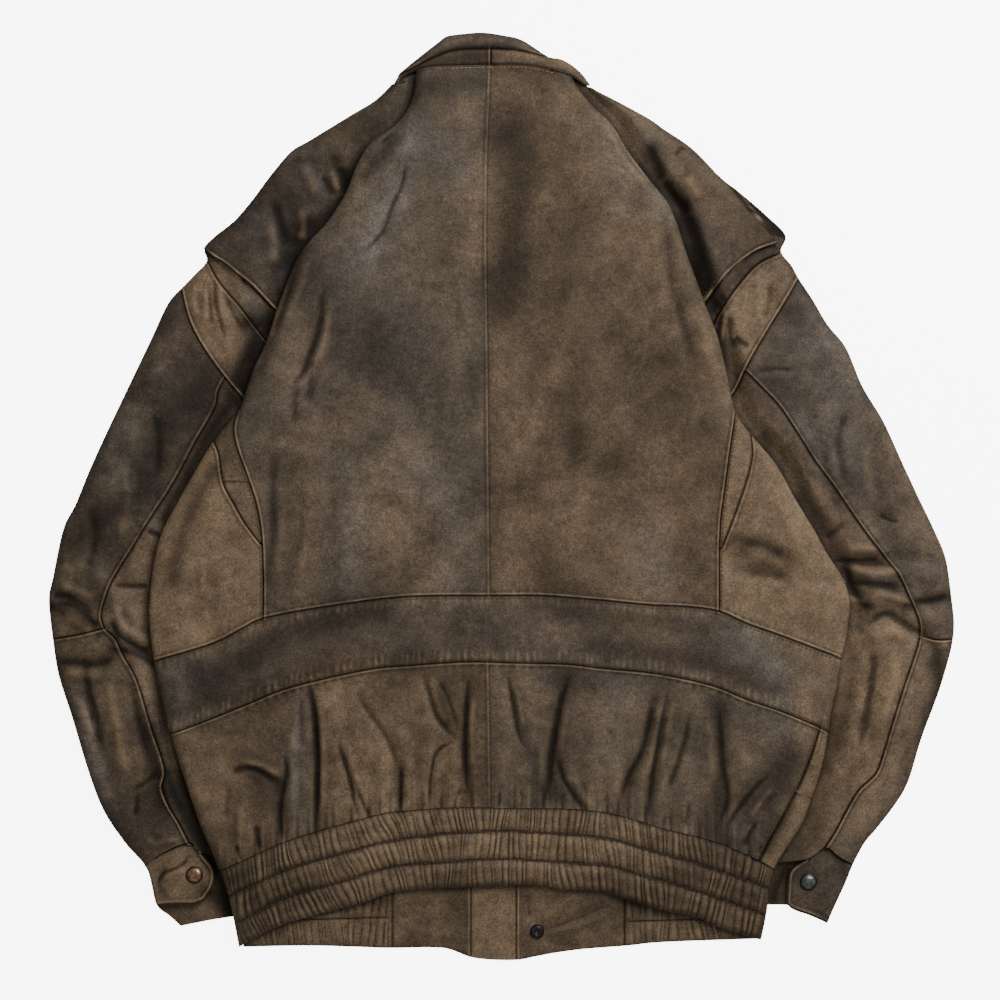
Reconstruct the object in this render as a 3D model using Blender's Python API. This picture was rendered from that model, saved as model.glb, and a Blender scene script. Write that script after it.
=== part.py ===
"""A worn leather blouson, laid face down on a flat surface with its arms beside the body.

Sizes are millimetres in this file and are turned to metres where a mesh is made.
+X is the right of the laid jacket, +Y points to the collar and z = 0 is the surface it lies on.
Every cut piece is a wall between an outer and an inner face. Three smooth height fields carry them:
the arms, the body, whose edges lie on the arms, and the front, which lies on the floor.
"""

import bmesh
import bpy
import numpy as np

# General sizes, in millimetres.
MM = 0.001
FIELD_STEP = 6.0
MIDDLE = np.array((1.3, 0.25))
WALL = 2.0
HALF_SEAM = 0.19
SLOPE_STEP = 0.25
OUTSIDE_SLOPE = 3.0

# Heights of the layers above the floor.
FLOOR_TOP = 2.0
LAYER_GAP = 0.3
ARM_RIM = 2.9
ARM_RISE = 8.5
ARM_RADIUS = 13.0
ARM_UNDER_BODY = 6.0
ARM_CLIMB = 0.5
ARM_CLIMB_FROM = 7.0
ARM_TUCKED = 4.4
ARM_LOWEST = 2.8
ARM_FOLDS_FROM = 2.0
ARM_FOLDS_FADE = 14.0
TUCK = 16.0
FRONT_LIFT = 7.0
FRONT_FLAT_TO = 19.0
FRONT_DOWN_AT = 54.0
BODY_RIM = 9.9
BODY_RISE = 6.2
BODY_RADIUS = 9.0
BODY_SETTLE = 4.5
BODY_SETTLE_FROM = 16.0
BODY_SETTLE_TO = 80.0
BODY_FOLDS_FADE = 16.0
HEM_RIM = 7.0
HEM_RISE = 3.4
HEM_RADIUS = 6.0
HEM_CLIMB = 0.07
CAP_LIFT = 2.5
CAP_LOW = 8.0
CAP_LIFT_WIDTH = 16.0
CAP_LIFT_FADE = 24.0
COLLAR_RIM = 3.3
COLLAR_RISE = 7.4
COLLAR_RADIUS = 9.0
CUFF_TOP = 7.4

# Gathers: how many, and how far they stand out.
HEM_GATHERS = 96
HEM_GATHER_HEIGHT = 1.3
HEM_CHANNEL_HEIGHT = 1.6
FRONT_GATHERS = 25
FRONT_GATHER_HEIGHT = 0.9
FRONT_HEM_WALL = 2.8
PANEL_GATHER_PITCH = 20.0
PANEL_GATHER_HEIGHT = 1.9
PANEL_GATHER_REACH = 95.0
PANEL_GATHER_DRIFT = 0.9
PANEL_GATHER_DRIFT_EVERY = 5.3
PANEL_GATHER_FADE = 14.0
HEM_GATHER_FADE = 0.02

SNAP_SEGMENTS = 16
SNAP_RADIUS = 7.3
SNAP_HEIGHT = 3.2
HEM_SNAP_RADIUS = 6.0
HEM_SNAP_HEIGHT = 2.4
HEM_SNAP_HOLE = 1.8
HEM_SNAP_AT = (32.0, -374.5)

# Outlines in plan, each from the collar down or from left to right.
SILHOUETTE = {
    "left": [
        (-94, 354), (-107.5, 341), (-129, 328), (-165, 306), (-180, 297), (-198, 276), (-212, 257),
        (-229, 237), (-245, 224), (-255, 213), (-252, 203), (-261, 193), (-274, 179.5), (-286, 166),
        (-301, 134), (-325, 84), (-343, 46), (-355, 19), (-365.5, -7), (-376, -28), (-385, -70),
        (-388.4, -89), (-385, -123), (-380, -154), (-368.5, -190), (-354, -238), (-341, -271),
        (-322.5, -298.5), (-306, -317), (-301, -330), (-295.6, -352), (-285, -361), (-275, -370),
    ],
    "right": [
        (82, 350), (101.5, 340), (129, 325), (140, 317), (165, 300), (187, 277.5), (210, 259),
        (229, 242.5), (246, 225), (242, 211), (251, 199), (257, 188), (269, 170), (282, 148),
        (298, 128), (312, 95), (330, 65), (347, 28), (361, -2), (373.5, -28), (384, -54),
        (389, -89), (391, -108), (390, -122.6), (387, -137.5), (377.5, -169), (363, -208),
        (352, -244), (342, -262.5), (325, -285), (314, -298), (304, -316.5), (298, -331.5),
        (286, -357.5), (282, -367),
    ],
}
BODY_EDGE = {
    "left": [
        (-72, 367), (-74, 348), (-80, 331), (-92, 317), (-111, 304), (-119, 292), (-125, 280),
        (-133, 260), (-148, 236), (-162, 221), (-173, 207), (-182, 187), (-192, 159.5), (-201, 132),
        (-212, 109), (-220, 85), (-225, 73), (-246, 48), (-264, 18), (-278, -7), (-290, -30),
        (-297, -55), (-301, -89), (-301, -110), (-297, -141), (-288, -186.5), (-283, -204),
        (-271, -242), (-258, -280), (-250, -299), (-241, -321), (-233, -344), (-228, -366),
        (-224, -387),
    ],
    "right": [
        (60, 363), (69, 347), (82, 333), (96, 319), (108, 299), (120, 282.5), (132, 267), (144, 252),
        (152, 234), (159, 212), (167, 190), (177, 163), (187, 137), (195, 104), (202, 73.5),
        (215.5, 53), (236.5, 28), (254, -3), (268, -26), (282, -51), (293, -68), (300, -89),
        (298, -117), (293, -139), (289, -165), (284, -186), (282, -203), (277, -231), (267.5, -261),
        (260, -281), (250, -297), (240, -312), (235, -322), (231, -337), (229, -356), (224, -381),
    ],
}
NECK = [
    (-91, 353), (-75, 364), (-57, 368), (-36, 369), (-8, 370), (21, 369.5), (42, 365.5), (58, 361),
    (73, 353),
]
COLLAR_SEAM = [(-87, 362.5), (-71, 370), (-55, 377.6), (-37, 383), (-8, 384), (12.5, 383), (41, 378)]
COLLAR_TOP = [
    (-87, 364), (-75, 374), (-52, 392), (-45, 396.5), (-30, 398.6), (-14, 399.5), (3, 397), (19, 393),
    (41, 379),
]
STAND_RIGHT_TOP = [(-8, 384), (12.5, 383), (41, 378), (54, 375.5), (68.5, 366), (78, 354)]
CENTRE_SEAM = [(-8, 370), (-11.4, 255), (-10, 83), (-8.6, -85)]
LOWER_CENTRE_SEAM = [(-9.5, -142), (-8, -267)]
PRINCESS_SEAM = {
    "left": [
        (-225, 73), (-228, 57), (-224.5, 40), (-215, 13), (-209, -6), (-205.5, -24.5), (-204, -42),
        (-203, -71), (-203, -104.5),
    ],
    "right": [
        (202, 73.5), (199, 55), (195.5, 31), (192, 3), (189, -21), (188, -49.5), (188, -71),
        (188, -98.5),
    ],
}
GUSSET_SEAM = {
    "left": [(-246, 48), (-241, 36), (-239, 21), (-236, 8), (-228, -7), (-219, -23), (-206.5, -40)],
    "right": [(215.5, 53), (216, 37), (213, 20), (206, -2.5), (199, -22), (190.5, -44)],
}
BAND_TOP = [
    (-297, -141), (-247, -126), (-221, -113), (-203, -104.5), (-160, -96), (-95, -87), (-54, -85),
    (-8.6, -85), (35, -85), (87, -89), (129, -93), (160, -94.5), (188, -98.5), (212, -109), (243, -120), (293, -139),
]
BAND_BOTTOM = [
    (-283, -204), (-247, -190.5), (-217, -178.5), (-180, -164), (-115, -149), (-75, -145), (-28, -142),
    (14, -143), (56, -144), (87, -147.5), (129, -151.5), (160, -157), (187, -164), (212, -174.5),
    (243, -185), (274, -198), (282, -203),
]
SIDE_SEAM_RIGHT = [(274, -198), (265, -225.5), (253, -253), (232, -292), (222, -311.5)]
HEM_TOP = [
    (-241, -321), (-224, -313), (-187.5, -297), (-157, -287), (-110, -274), (-87, -270), (-38, -266.5),
    (0, -267), (62, -268), (101, -273), (141, -285), (185, -296), (222, -311.5), (236, -320),
]
HEM_BOTTOM = [
    (-224, -387), (-192, -370.5), (-159, -360), (-116.5, -349), (-85, -339), (-27.5, -336), (32, -334),
    (53, -338), (88, -339), (107.5, -346), (141, -356), (167, -361), (193.5, -372), (224, -381),
]
FRONT_HEM_BOTTOM = [
    (-221, -388), (-168, -387), (-126, -388), (-96, -389), (-60, -388.5), (-44, -390), (-26, -396.5),
    (-6, -399), (16, -399), (27.5, -397), (46, -393.5), (72, -390), (110, -387), (141, -384), (221, -381),
]
COLLAR_UNDER = [(-87, 359), (-72, 354), (-50, 350), (0, 349), (40, 350), (58, 352), (75, 356)]
FRONT_HEM_TOP_Y = -326.0
FRONT_HEM_BEND_Y = -366.0
FRONT_HEM_LOW_Y = -392.0
FRONT_HEM_INSET = 16.0
FRONT_TOP_Y = 348.0
CAP_TOP_Y = 357.0
YOKE_TOP_Y = 346.0
ELASTIC_END = {"left": -96.0, "right": 110.0}
PLACKET_EDGE = {"left": -26.0, "right": 16.0}

# Each edge of an arm's pieces runs from the outline of the arm to a point tucked under the body.
CAP_EDGE = {
    "left": [(-255, 213), (-245, 205), (-236.5, 200), (-224.5, 190), (-212, 180), (-193, 160), (-177, 148)],
    "right": [(238, 217), (221, 211), (208, 202.5), (195, 191), (183, 176), (176, 166), (160, 150)],
}
CAP_OUTER_RIGHT = [
    (82, 350), (101.5, 340), (129, 325), (140, 317), (165, 300), (187, 277.5), (198, 265), (215, 242),
    (238, 217),
]
HEAD_TOP = {
    "left": [
        (-249.5, 206), (-239, 209), (-222, 199), (-211, 186), (-201.5, 170.5), (-193, 159.5),
        (-177.3, 147.5),
    ],
    "right": [
        (239.5, 213.5), (229, 219), (212, 211), (199, 200), (189, 184), (182.5, 174.5), (176, 165.5),
        (160.3, 149.5),
    ],
}
HEAD_SEAM = {
    "left": [(-251.5, 202), (-245, 190), (-236.5, 178), (-222, 161), (-209, 144), (-200, 133), (-185, 122)],
    "right": [(242, 209.5), (221, 199), (206, 183), (195, 168), (187, 155), (181, 142), (168, 130)],
}
ARMHOLE = {
    "left": [(-274, 179.5), (-268, 155), (-260, 137), (-248, 118), (-236, 102), (-221, 84), (-208, 70)],
    "right": [(257, 188), (244, 166), (231, 145), (218, 123), (210, 108), (201, 89), (186, 76)],
}
SLEEVE_SEAM = {
    "left": [
        (-236, 102), (-242, 90), (-244, 78), (-252, 63), (-261, 48), (-281, 11), (-299, -17),
        (-316.5, -45.5), (-330.5, -68), (-338, -86), (-342, -100), (-339, -113), (-330, -122), (-323, -137),
        (-312, -157), (-300, -196.5), (-288, -234), (-290, -250), (-284, -266), (-276, -279.5), (-267, -297),
    ],
    "right": [
        (210, 108), (225, 93), (240, 77), (252, 59), (268, 33.5), (286, 9), (303, -16), (319, -38),
        (340, -65), (352, -89), (359, -106), (360, -119), (355, -137.5), (346, -164), (337, -193),
        (329, -220), (322, -238), (307, -253), (296, -272), (288, -287), (279, -301),
    ],
}
ELBOW_ON_SLEEVE_SEAM = {"left": (-339, -113), "right": (360, -119)}
ELBOW = {
    "left": [(-385, -123), (-358, -118), (-339, -113)],
    "right": [(390, -122.6), (374, -123), (360, -119)],
}
CUFF_SEAM = {
    "left": [(-306, -317), (-290, -306), (-267, -297), (-256, -306), (-224, -318)],
    "right": [(304, -316.5), (291, -309), (279, -301), (262, -311), (220, -318)],
}
CUFF_TIP = {
    "left": [(-256, -306), (-247, -318), (-245, -326), (-247, -336), (-254, -347)],
    "right": [(262, -311), (250, -320), (247, -330), (246, -350)],
}
CUFF_BOTTOM = {
    "left": [(-295.6, -352), (-280, -350.5), (-264, -350.5), (-254, -347)],
    "right": [(282, -367), (266, -360), (252, -355), (246, -350)],
}
CUFF_UNDER_BOTTOM = {
    "left": [(-275, -370), (-250, -365), (-231, -362), (-216, -360)],
    "right": [(280, -364), (262, -357), (248, -352), (214, -352)],
}
CUFF_SNAP_AT = {"left": (-262.4, -325), "right": (265, -331)}
CAP_TAB = [(229, 226), (245, 222), (241, 213), (233, 216)]

# The largest folds: a path, how far it stands out, and its half width.
BODY_FOLDS = [
    ([(-133, 250), (-150, 215), (-165, 160)], 3.0, 12),
    ([(-165, 155), (-168, 128), (-178, 100), (-186, 85)], -3.0, 7),
    ([(-82, 289), (-97, 245), (-120, 208)], 2.2, 14),
    ([(-181, 45), (-190, 0), (-188, -70)], -2.6, 11),
    ([(-165, 70), (-160, 0), (-166, -70)], 1.8, 16),
    ([(-262, -5), (-275, -60), (-277, -125)], 2.4, 15),
    ([(101, 335), (116, 300), (133, 268)], 2.4, 11),
    ([(138, 282), (166, 235), (181, 180)], -2.6, 9),
    ([(165, 60), (160, 0), (172, -60)], 2.0, 13),
    ([(215, -30), (245, -60), (275, -90)], 2.6, 16),
    ([(200, -56), (240, -62), (262, -72)], -2.2, 9),
    ([(-60, 230), (-50, 120), (-70, 20)], 1.2, 30),
    ([(60, 250), (70, 120), (60, 0)], 1.2, 30),
    ([(-230, -150), (-180, -135), (-120, -122)], 1.6, 14),
    ([(120, -118), (190, -132), (250, -155)], 1.6, 14),
]
ARM_FOLDS = {
    "left": [
        ([(-246, 185), (-243, 160), (-236, 130)], 2.2, 6),
        ([(-300, 110), (-285, 60), (-292, 10)], 3.0, 14),
        ([(-330, 45), (-318, -5), (-335, -60)], -2.6, 10),
        ([(-355, -60), (-330, -90), (-320, -120)], 2.6, 9),
        ([(-388, -88), (-360, -86), (-345, -98)], -2.4, 6),
        ([(-340, -104), (-325, -116), (-300, -138)], 3.2, 7),
        ([(-345, -150), (-330, -200), (-316, -250)], 2.8, 13),
        ([(-360, -160), (-350, -205), (-335, -250)], -2.2, 8),
    ],
    "right": [
        ([(249, 190), (235, 165), (222, 140)], 2.0, 6),
        ([(290, 120), (280, 70), (290, 20)], 2.8, 14),
        ([(330, 50), (318, 0), (338, -50)], -2.6, 10),
        ([(385, -58), (340, -56), (300, -60)], -3.0, 8),
        ([(388, -68), (345, -64), (300, -78)], 3.0, 9),
        ([(350, -130), (330, -180), (310, -230)], 2.6, 12),
        ([(372, -150), (355, -200), (335, -250)], -2.2, 8),
    ],
}


# Curves in plan.


def dense(points, step=2.0):
    """A smooth curve through the points, sampled about every step."""
    knots = np.array(points, float)
    before = 2 * knots[0] - knots[1]
    after = 2 * knots[-1] - knots[-2]
    knots = np.vstack((before, knots, after))
    found = [knots[1:2]]
    for a, b, c, d in zip(knots, knots[1:], knots[2:], knots[3:]):
        count = max(2, int(np.linalg.norm(c - b) / step))
        t = np.linspace(0, 1, count + 1)[1:, None]
        found.append(
            0.5 * (2 * b + (c - a) * t + (2 * a - 5 * b + 4 * c - d) * t**2 + (3 * b - a - 3 * c + d) * t**3)
        )
    return np.vstack(found)


def between(curve, start, end):
    """The stretch of a dense curve from the point nearest start to the one nearest end."""
    first = int(np.argmin(np.linalg.norm(curve - start, axis=1)))
    last = int(np.argmin(np.linalg.norm(curve - end, axis=1)))
    if first > last:
        return curve[last : first + 1][::-1]
    return curve[first : last + 1]


def spaced(curve, fractions):
    """Points of a curve at fractions of its length."""
    steps = np.linalg.norm(np.diff(curve, axis=0), axis=1)
    run = np.concatenate(([0], np.cumsum(steps))) / steps.sum()
    return np.column_stack([np.interp(fractions, run, curve[:, axis]) for axis in (0, 1)])


def shifted(curve, distance):
    """The curve moved sideways, to the left of its direction."""
    along = np.gradient(curve, axis=0)
    along /= np.linalg.norm(along, axis=1, keepdims=True)
    return curve + distance * np.column_stack((-along[:, 1], along[:, 0]))


def even(count):
    return np.linspace(0, 1, count + 1)


def rounded_start(count, first=0.022):
    """Fractions that begin close together, for an edge that curls over."""
    return np.concatenate(([0, first, 3 * first], np.linspace(7 * first, 1, count - 2)))


def rounded_end(count, first=0.022):
    return 1 - rounded_start(count, first)[::-1]


def rounded_both(count, first=0.022):
    middle = np.linspace(7 * first, 1 - 7 * first, count - 5)
    return np.concatenate(([0, first, 3 * first], middle, [1 - 3 * first, 1 - first, 1]))


def rail(*stretches):
    """One side of a patch: dense curves, each sampled at its own fractions, joined end to end."""
    sampled = [spaced(curve, fractions) for curve, fractions in stretches]
    return np.vstack([sampled[0]] + [stretch[1:] for stretch in sampled[1:]])


def run_of(points):
    """How far along its length each point of a rail is, from 0 to 1."""
    steps = np.linalg.norm(np.diff(points, axis=0), axis=1)
    return np.concatenate(([0], np.cumsum(steps))) / steps.sum()


def patch(low, high, start, end):
    """A grid of points between four rails: low and high run one way, start and end the other."""
    start, end = start.copy(), end.copy()
    start[0], start[-1] = low[0], high[0]
    end[0], end[-1] = low[-1], high[-1]
    u = ((run_of(low) + run_of(high)) / 2)[None, :, None]
    v = ((run_of(start) + run_of(end)) / 2)[:, None, None]
    low, high = low[None], high[None]
    start, end = start[:, None], end[:, None]
    corners = (1 - u) * (1 - v) * low[:, :1] + u * (1 - v) * low[:, -1:]
    corners = corners + (1 - u) * v * high[:, :1] + u * v * high[:, -1:]
    grid = (1 - v) * low + v * high + (1 - u) * start + u * end - corners
    return seam_gap(grid)


def seam_gap(grid):
    """Draws the four sides of a grid in by half a seam."""
    drawn = grid.copy()
    for axis in (0, 1):
        lines = np.moveaxis(grid, axis, 0)
        moved = np.moveaxis(drawn, axis, 0)
        for edge, inner in ((0, 1), (-1, -2)):
            inward = lines[inner] - lines[edge]
            along = np.gradient(lines[edge], axis=0)
            along /= np.maximum(np.linalg.norm(along, axis=1, keepdims=True), 1e-9)
            across = np.column_stack((-along[:, 1], along[:, 0]))
            across *= np.sign((across * inward).sum(axis=1, keepdims=True))
            moved[edge] += HALF_SEAM * across
    return drawn


def signed_distance(xy, curve):
    """Distance to a curve, positive on the left of its direction."""
    flat = xy.reshape(-1, 2)
    best = np.full(len(flat), np.inf)
    side = np.ones(len(flat))
    for a, b in zip(curve, curve[1:]):
        run = b - a
        along = np.clip((flat - a) @ run / (run @ run), 0, 1)
        off = flat - a - along[:, None] * run
        gap = np.hypot(off[:, 0], off[:, 1])
        nearer = gap < best
        best[nearer] = gap[nearer]
        side[nearer] = np.sign(run[0] * off[nearer, 1] - run[1] * off[nearer, 0])
    return (best * np.where(side == 0, 1, side)).reshape(xy.shape[:-1])


# Height fields.


def ease(t):
    t = np.clip(t, 0, 1)
    return t * t * (3 - 2 * t)


def curl(distance, radius, rise):
    """Height gained inwards from an edge that curls over, falling steeply outside it."""
    t = np.clip(distance / radius, 0, 1)
    return rise * np.sqrt(1 - (1 - t) ** 2) + OUTSIDE_SLOPE * np.minimum(distance, 0)


def folds(xy, listed):
    height = np.zeros(xy.shape[:-1])
    for path, out, width in listed:
        gap = signed_distance(xy, dense(path, FIELD_STEP))
        height += out * np.exp(-((gap / width) ** 2))
    return height


def coarse(outlines, side):
    return dense(outlines[side], FIELD_STEP)


INWARD = {"left": 1, "right": -1}


def body_depth(xy, side):
    """How far a point is inside the body's edge on one side."""
    return INWARD[side] * signed_distance(xy, coarse(BODY_EDGE, side))


def arm_height(xy, side):
    inside = INWARD[side] * signed_distance(xy, coarse(SILHOUETTE, side))
    outside = -body_depth(xy, side)
    top = ARM_RIM + curl(inside, ARM_RADIUS, ARM_RISE)
    top = top + folds(xy, ARM_FOLDS[side]) * ease((inside - ARM_FOLDS_FROM) / ARM_FOLDS_FADE)
    near_body = ARM_TUCKED + (ARM_UNDER_BODY - ARM_TUCKED) * ease((outside + TUCK) / TUCK)
    near_body = near_body + ARM_CLIMB * np.maximum(outside - ARM_CLIMB_FROM, 0)
    return np.maximum(np.minimum(top, near_body), ARM_LOWEST)


def cap_height(xy, side):
    edge = coarse(CAP_EDGE, side)
    from_edge = np.abs(signed_distance(xy, edge))
    lift = CAP_LIFT * (1 - ease((from_edge - CAP_LIFT_WIDTH) / CAP_LIFT_FADE))
    return arm_height(xy, side) + lift * ease(-body_depth(xy, side) / CAP_LOW)


def cuff_height(xy, side):
    return np.minimum(arm_height(xy, side), CUFF_TOP)


def nearest_depth(xy):
    return np.minimum(body_depth(xy, "left"), body_depth(xy, "right"))


def body_height(xy):
    depth = nearest_depth(xy)
    top = BODY_RIM + curl(depth, BODY_RADIUS, BODY_RISE)
    span = BODY_SETTLE_TO - BODY_SETTLE_FROM
    top = top - BODY_SETTLE * ease((depth - BODY_SETTLE_FROM) / span)
    return top + folds(xy, BODY_FOLDS) * ease(depth / BODY_FOLDS_FADE)


def hem_height(xy):
    """The hem follows the body and curls down at its lower edge."""
    above = signed_distance(xy, dense(HEM_BOTTOM, FIELD_STEP))
    climb = HEM_CLIMB * np.maximum(above - HEM_RADIUS, 0)
    return np.minimum(body_height(xy), HEM_RIM + curl(above, HEM_RADIUS, HEM_RISE) + climb)


def gathered_height(xy):
    """The lower panels, with folds that grow towards the hem."""
    above = signed_distance(xy, dense(HEM_TOP, FIELD_STEP))
    grow = ease(1 - above / PANEL_GATHER_REACH)
    phase = 2 * np.pi * xy[..., 0] / PANEL_GATHER_PITCH
    wave = np.cos(phase + PANEL_GATHER_DRIFT * np.sin(phase / PANEL_GATHER_DRIFT_EVERY))
    ends = ease(nearest_depth(xy) / PANEL_GATHER_FADE)
    return body_height(xy) + PANEL_GATHER_HEIGHT * grow * wave * ends


def collar_height(xy):
    below = -signed_distance(xy, dense(COLLAR_TOP + STAND_RIGHT_TOP[3:], 4.0))
    return COLLAR_RIM + curl(below, COLLAR_RADIUS, COLLAR_RISE)


def front_height(xy):
    """The front's outer face on the floor, which climbs over the arms' tucked edges at its sides."""
    lift = FRONT_LIFT * (1 - ease((nearest_depth(xy) - FRONT_FLAT_TO) / (FRONT_DOWN_AT - FRONT_FLAT_TO)))
    return FLOOR_TOP + lift


# Walls.


def plain_finish(name, colour, roughness=0.55, metallic=0.0):
    """A plain material of the piece's own colour."""
    material = bpy.data.materials.new(name + "_finish")
    material.use_nodes = True
    shader = material.node_tree.nodes["Principled BSDF"]
    shader.inputs["Base Color"].default_value = (*colour, 1.0)
    shader.inputs["Roughness"].default_value = roughness
    shader.inputs["Metallic"].default_value = metallic
    return material


BROWN = (0.085, 0.060, 0.040)
GREY_BROWN = (0.060, 0.047, 0.037)
TAN = (0.140, 0.098, 0.062)
DARK = (0.040, 0.031, 0.024)
COPPER = (0.36, 0.20, 0.13)
PATINA = (0.16, 0.20, 0.17)
METAL = (0.4, 0.9)


def slopes(field, xy):
    """Unit normals of a height field, by its differences along X and Y."""
    found = []
    for step in ((SLOPE_STEP, 0), (0, SLOPE_STEP)):
        step = np.array(step)
        found.append((field(xy + step) - field(xy - step)) / (2 * SLOPE_STEP))
    normal = np.stack((-found[0], -found[1], np.ones(xy.shape[:-1])), axis=-1)
    return normal / np.linalg.norm(normal, axis=-1, keepdims=True)


def inside_of(field, xy):
    """The inner face of a wall whose outer face is the height field."""
    inner = np.dstack((xy, field(xy))) - WALL * slopes(field, xy)
    inner[..., 2] = np.maximum(inner[..., 2], FLOOR_TOP + LAYER_GAP)
    return inner


def with_height(xy, height):
    return np.dstack((xy, np.broadcast_to(height, xy.shape[:-1])))


def place(points):
    return [((x - MIDDLE[0]) * MM, (y - MIDDLE[1]) * MM, z * MM) for x, y, z in points]


def add_object(name, mesh_maker, material):
    mesh = bpy.data.meshes.new(name)
    mesh_maker.to_mesh(mesh)
    mesh_maker.free()
    mesh.materials.append(material)
    mesh.shade_smooth()
    mesh.set_sharp_from_angle(angle=np.radians(50))
    made = bpy.data.objects.new(name, mesh)
    bpy.context.scene.collection.objects.link(made)
    return made


def face_outwards(maker):
    bmesh.ops.triangulate(maker, faces=maker.faces[:])
    bmesh.ops.recalc_face_normals(maker, faces=maker.faces[:])
    if maker.calc_volume(signed=True) < 0:
        bmesh.ops.reverse_faces(maker, faces=maker.faces[:])


def kept(index, step, last, rim):
    """The grid line that an inner point joins when only every few lines are kept."""
    if index in (0, last):
        return index
    if rim and index < step:
        return min(step, last - 1)
    return min(max(round(index / step) * step, rim), last - rim)


def wall(name, outer, inner, colour, steps=(1, 1), rim=True):
    """A closed wall between two grids of points. Its inner face may be coarser than its outer one."""
    rows, columns = outer.shape[:2]
    maker = bmesh.new()
    index = maker.verts.layers.int.new("grid_index")
    bmesh.ops.create_grid(maker, x_segments=columns - 1, y_segments=rows - 1, size=1.0)
    for vert in maker.verts:
        column = round((vert.co.x + 1) / 2 * (columns - 1))
        row = round((vert.co.y + 1) / 2 * (rows - 1))
        vert[index] = row * columns + column
    made = bmesh.ops.extrude_face_region(maker, geom=maker.faces[:], use_keep_orig=True)
    lower = {item for item in made["geom"] if isinstance(item, bmesh.types.BMVert)}
    outer = place(outer.reshape(-1, 3))
    inner = place(inner.reshape(-1, 3))
    for vert in maker.verts:
        vert.co = inner[vert[index]] if vert in lower else outer[vert[index]]
    at = {vert[index]: vert for vert in lower}
    joined = {}
    for number, vert in at.items():
        row, column = divmod(number, columns)
        if rim and (row in (0, rows - 1) or column in (0, columns - 1)):
            continue
        row = kept(row, steps[0], rows - 1, rim)
        column = kept(column, steps[1], columns - 1, rim)
        if at[row * columns + column] is not vert:
            joined[vert] = at[row * columns + column]
    if joined:
        bmesh.ops.weld_verts(maker, targetmap=joined)
    face_outwards(maker)
    return add_object(name, maker, plain_finish(name, colour))


def shell(name, xy, field, colour, steps=(1, 1)):
    """A wall that hangs from one height field."""
    return wall(name, with_height(xy, field(xy)), inside_of(field, xy), colour, steps)


def floor_sheet(name, xy, colour, top=FLOOR_TOP, bottom=0.0):
    return wall(name, with_height(xy, top), with_height(xy, bottom), colour)


def turned(name, at, base, profile, material):
    """A round piece: profile points are radius and height, from the axis outside to the axis inside."""
    maker = bmesh.new()
    centre = place([(*at, base)])[0]
    verts = [maker.verts.new((centre[0] + r * MM, centre[1], centre[2] + h * MM)) for r, h in profile]
    edges = [maker.edges.new(pair) for pair in zip(verts, verts[1:])]
    bmesh.ops.spin(
        maker, geom=verts + edges, cent=centre, axis=(0, 0, 1), angle=2 * np.pi, steps=SNAP_SEGMENTS,
        use_merge=True, use_duplicate=False,
    )
    bmesh.ops.remove_doubles(maker, verts=maker.verts[:], dist=0.00001)
    face_outwards(maker)
    return add_object(name, maker, material)


# The pieces.

# Fractions at which the shared seams are sampled, the same on both their sides.
GUSSET_ROWS = np.array((0, 0.03, 0.1, 0.25, 0.45, 0.7, 1.0))
LOWER_PRINCESS_ROWS = even(3)
FOLD_ROWS = even(10)
OUTER_SLEEVE_ROWS = even(10)
FOREARM_ROWS = even(9)
OUTER_COLUMNS = rounded_start(6, 0.05)
INNER_COLUMNS = even(5)
CURVED_SEAM_GAP = 0.4
CUFF_SEAM_GAP = 1.8
SIDE_BACK_CORNER = 6


def straight(*points):
    return np.array(points, float)


def nearest(curve, point):
    return curve[np.argmin(np.linalg.norm(curve - np.array(point), axis=1))]


def at_height(curve, y):
    """The point of a curve nearest a line across the garment."""
    return curve[np.argmin(abs(curve[:, 1] - y))]


def princess_rails(side):
    """The seam from the body's edge to the gusset's end, and from there to the waist band."""
    seam = dense(PRINCESS_SEAM[side])
    gusset_end = nearest(seam, GUSSET_SEAM[side][-1])
    return between(seam, seam[0], gusset_end), between(seam, gusset_end, seam[-1])


def back(side, colour):
    neck = dense(NECK)
    edge = dense(BODY_EDGE[side])
    upper, lower = princess_rails(side)
    centre = dense(CENTRE_SEAM)
    top = shifted(dense(BAND_TOP), CURVED_SEAM_GAP)
    shoulder = nearest(neck, edge[0])
    fold = np.vstack((shoulder, between(edge, nearest(edge, shoulder), upper[0])[1:-1], upper[0]))
    outer = rail((fold, FOLD_ROWS), (upper, GUSSET_ROWS), (lower, LOWER_PRINCESS_ROWS))
    across = rounded_start(11, 0.015)
    low = rail((between(top, lower[-1], centre[-1]), across))
    high = rail((between(neck, shoulder, centre[0]), across))
    inner = rail((centre, even(len(outer) - 1)))
    xy = patch(low, high, outer[::-1], inner[::-1])
    shell("back_" + side, xy, body_height, colour, (2, 2))


def side_back(side, colour):
    edge = dense(BODY_EDGE[side])
    band = shifted(dense(BAND_TOP), CURVED_SEAM_GAP)
    gusset_seam = dense(GUSSET_SEAM[side])
    lower = princess_rails(side)[1]
    band_end = band[0] if side == "left" else band[-1]
    first = int(np.argmin(np.linalg.norm(edge - gusset_seam[0], axis=1)))
    fold = between(edge, edge[first + SIDE_BACK_CORNER], band_end)
    inner = rail((gusset_seam, GUSSET_ROWS), (lower, LOWER_PRINCESS_ROWS))
    outer = rail((fold, even(len(inner) - 1)))
    across = rounded_start(7, 0.04)
    low = rail((between(band, band_end, lower[-1]), across))
    high = rail((edge[first : first + SIDE_BACK_CORNER + 1][::-1], across))
    xy = patch(low, high, outer[::-1], inner[::-1])
    shell("side_back_" + side, xy, body_height, colour, (2, 2))


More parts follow.
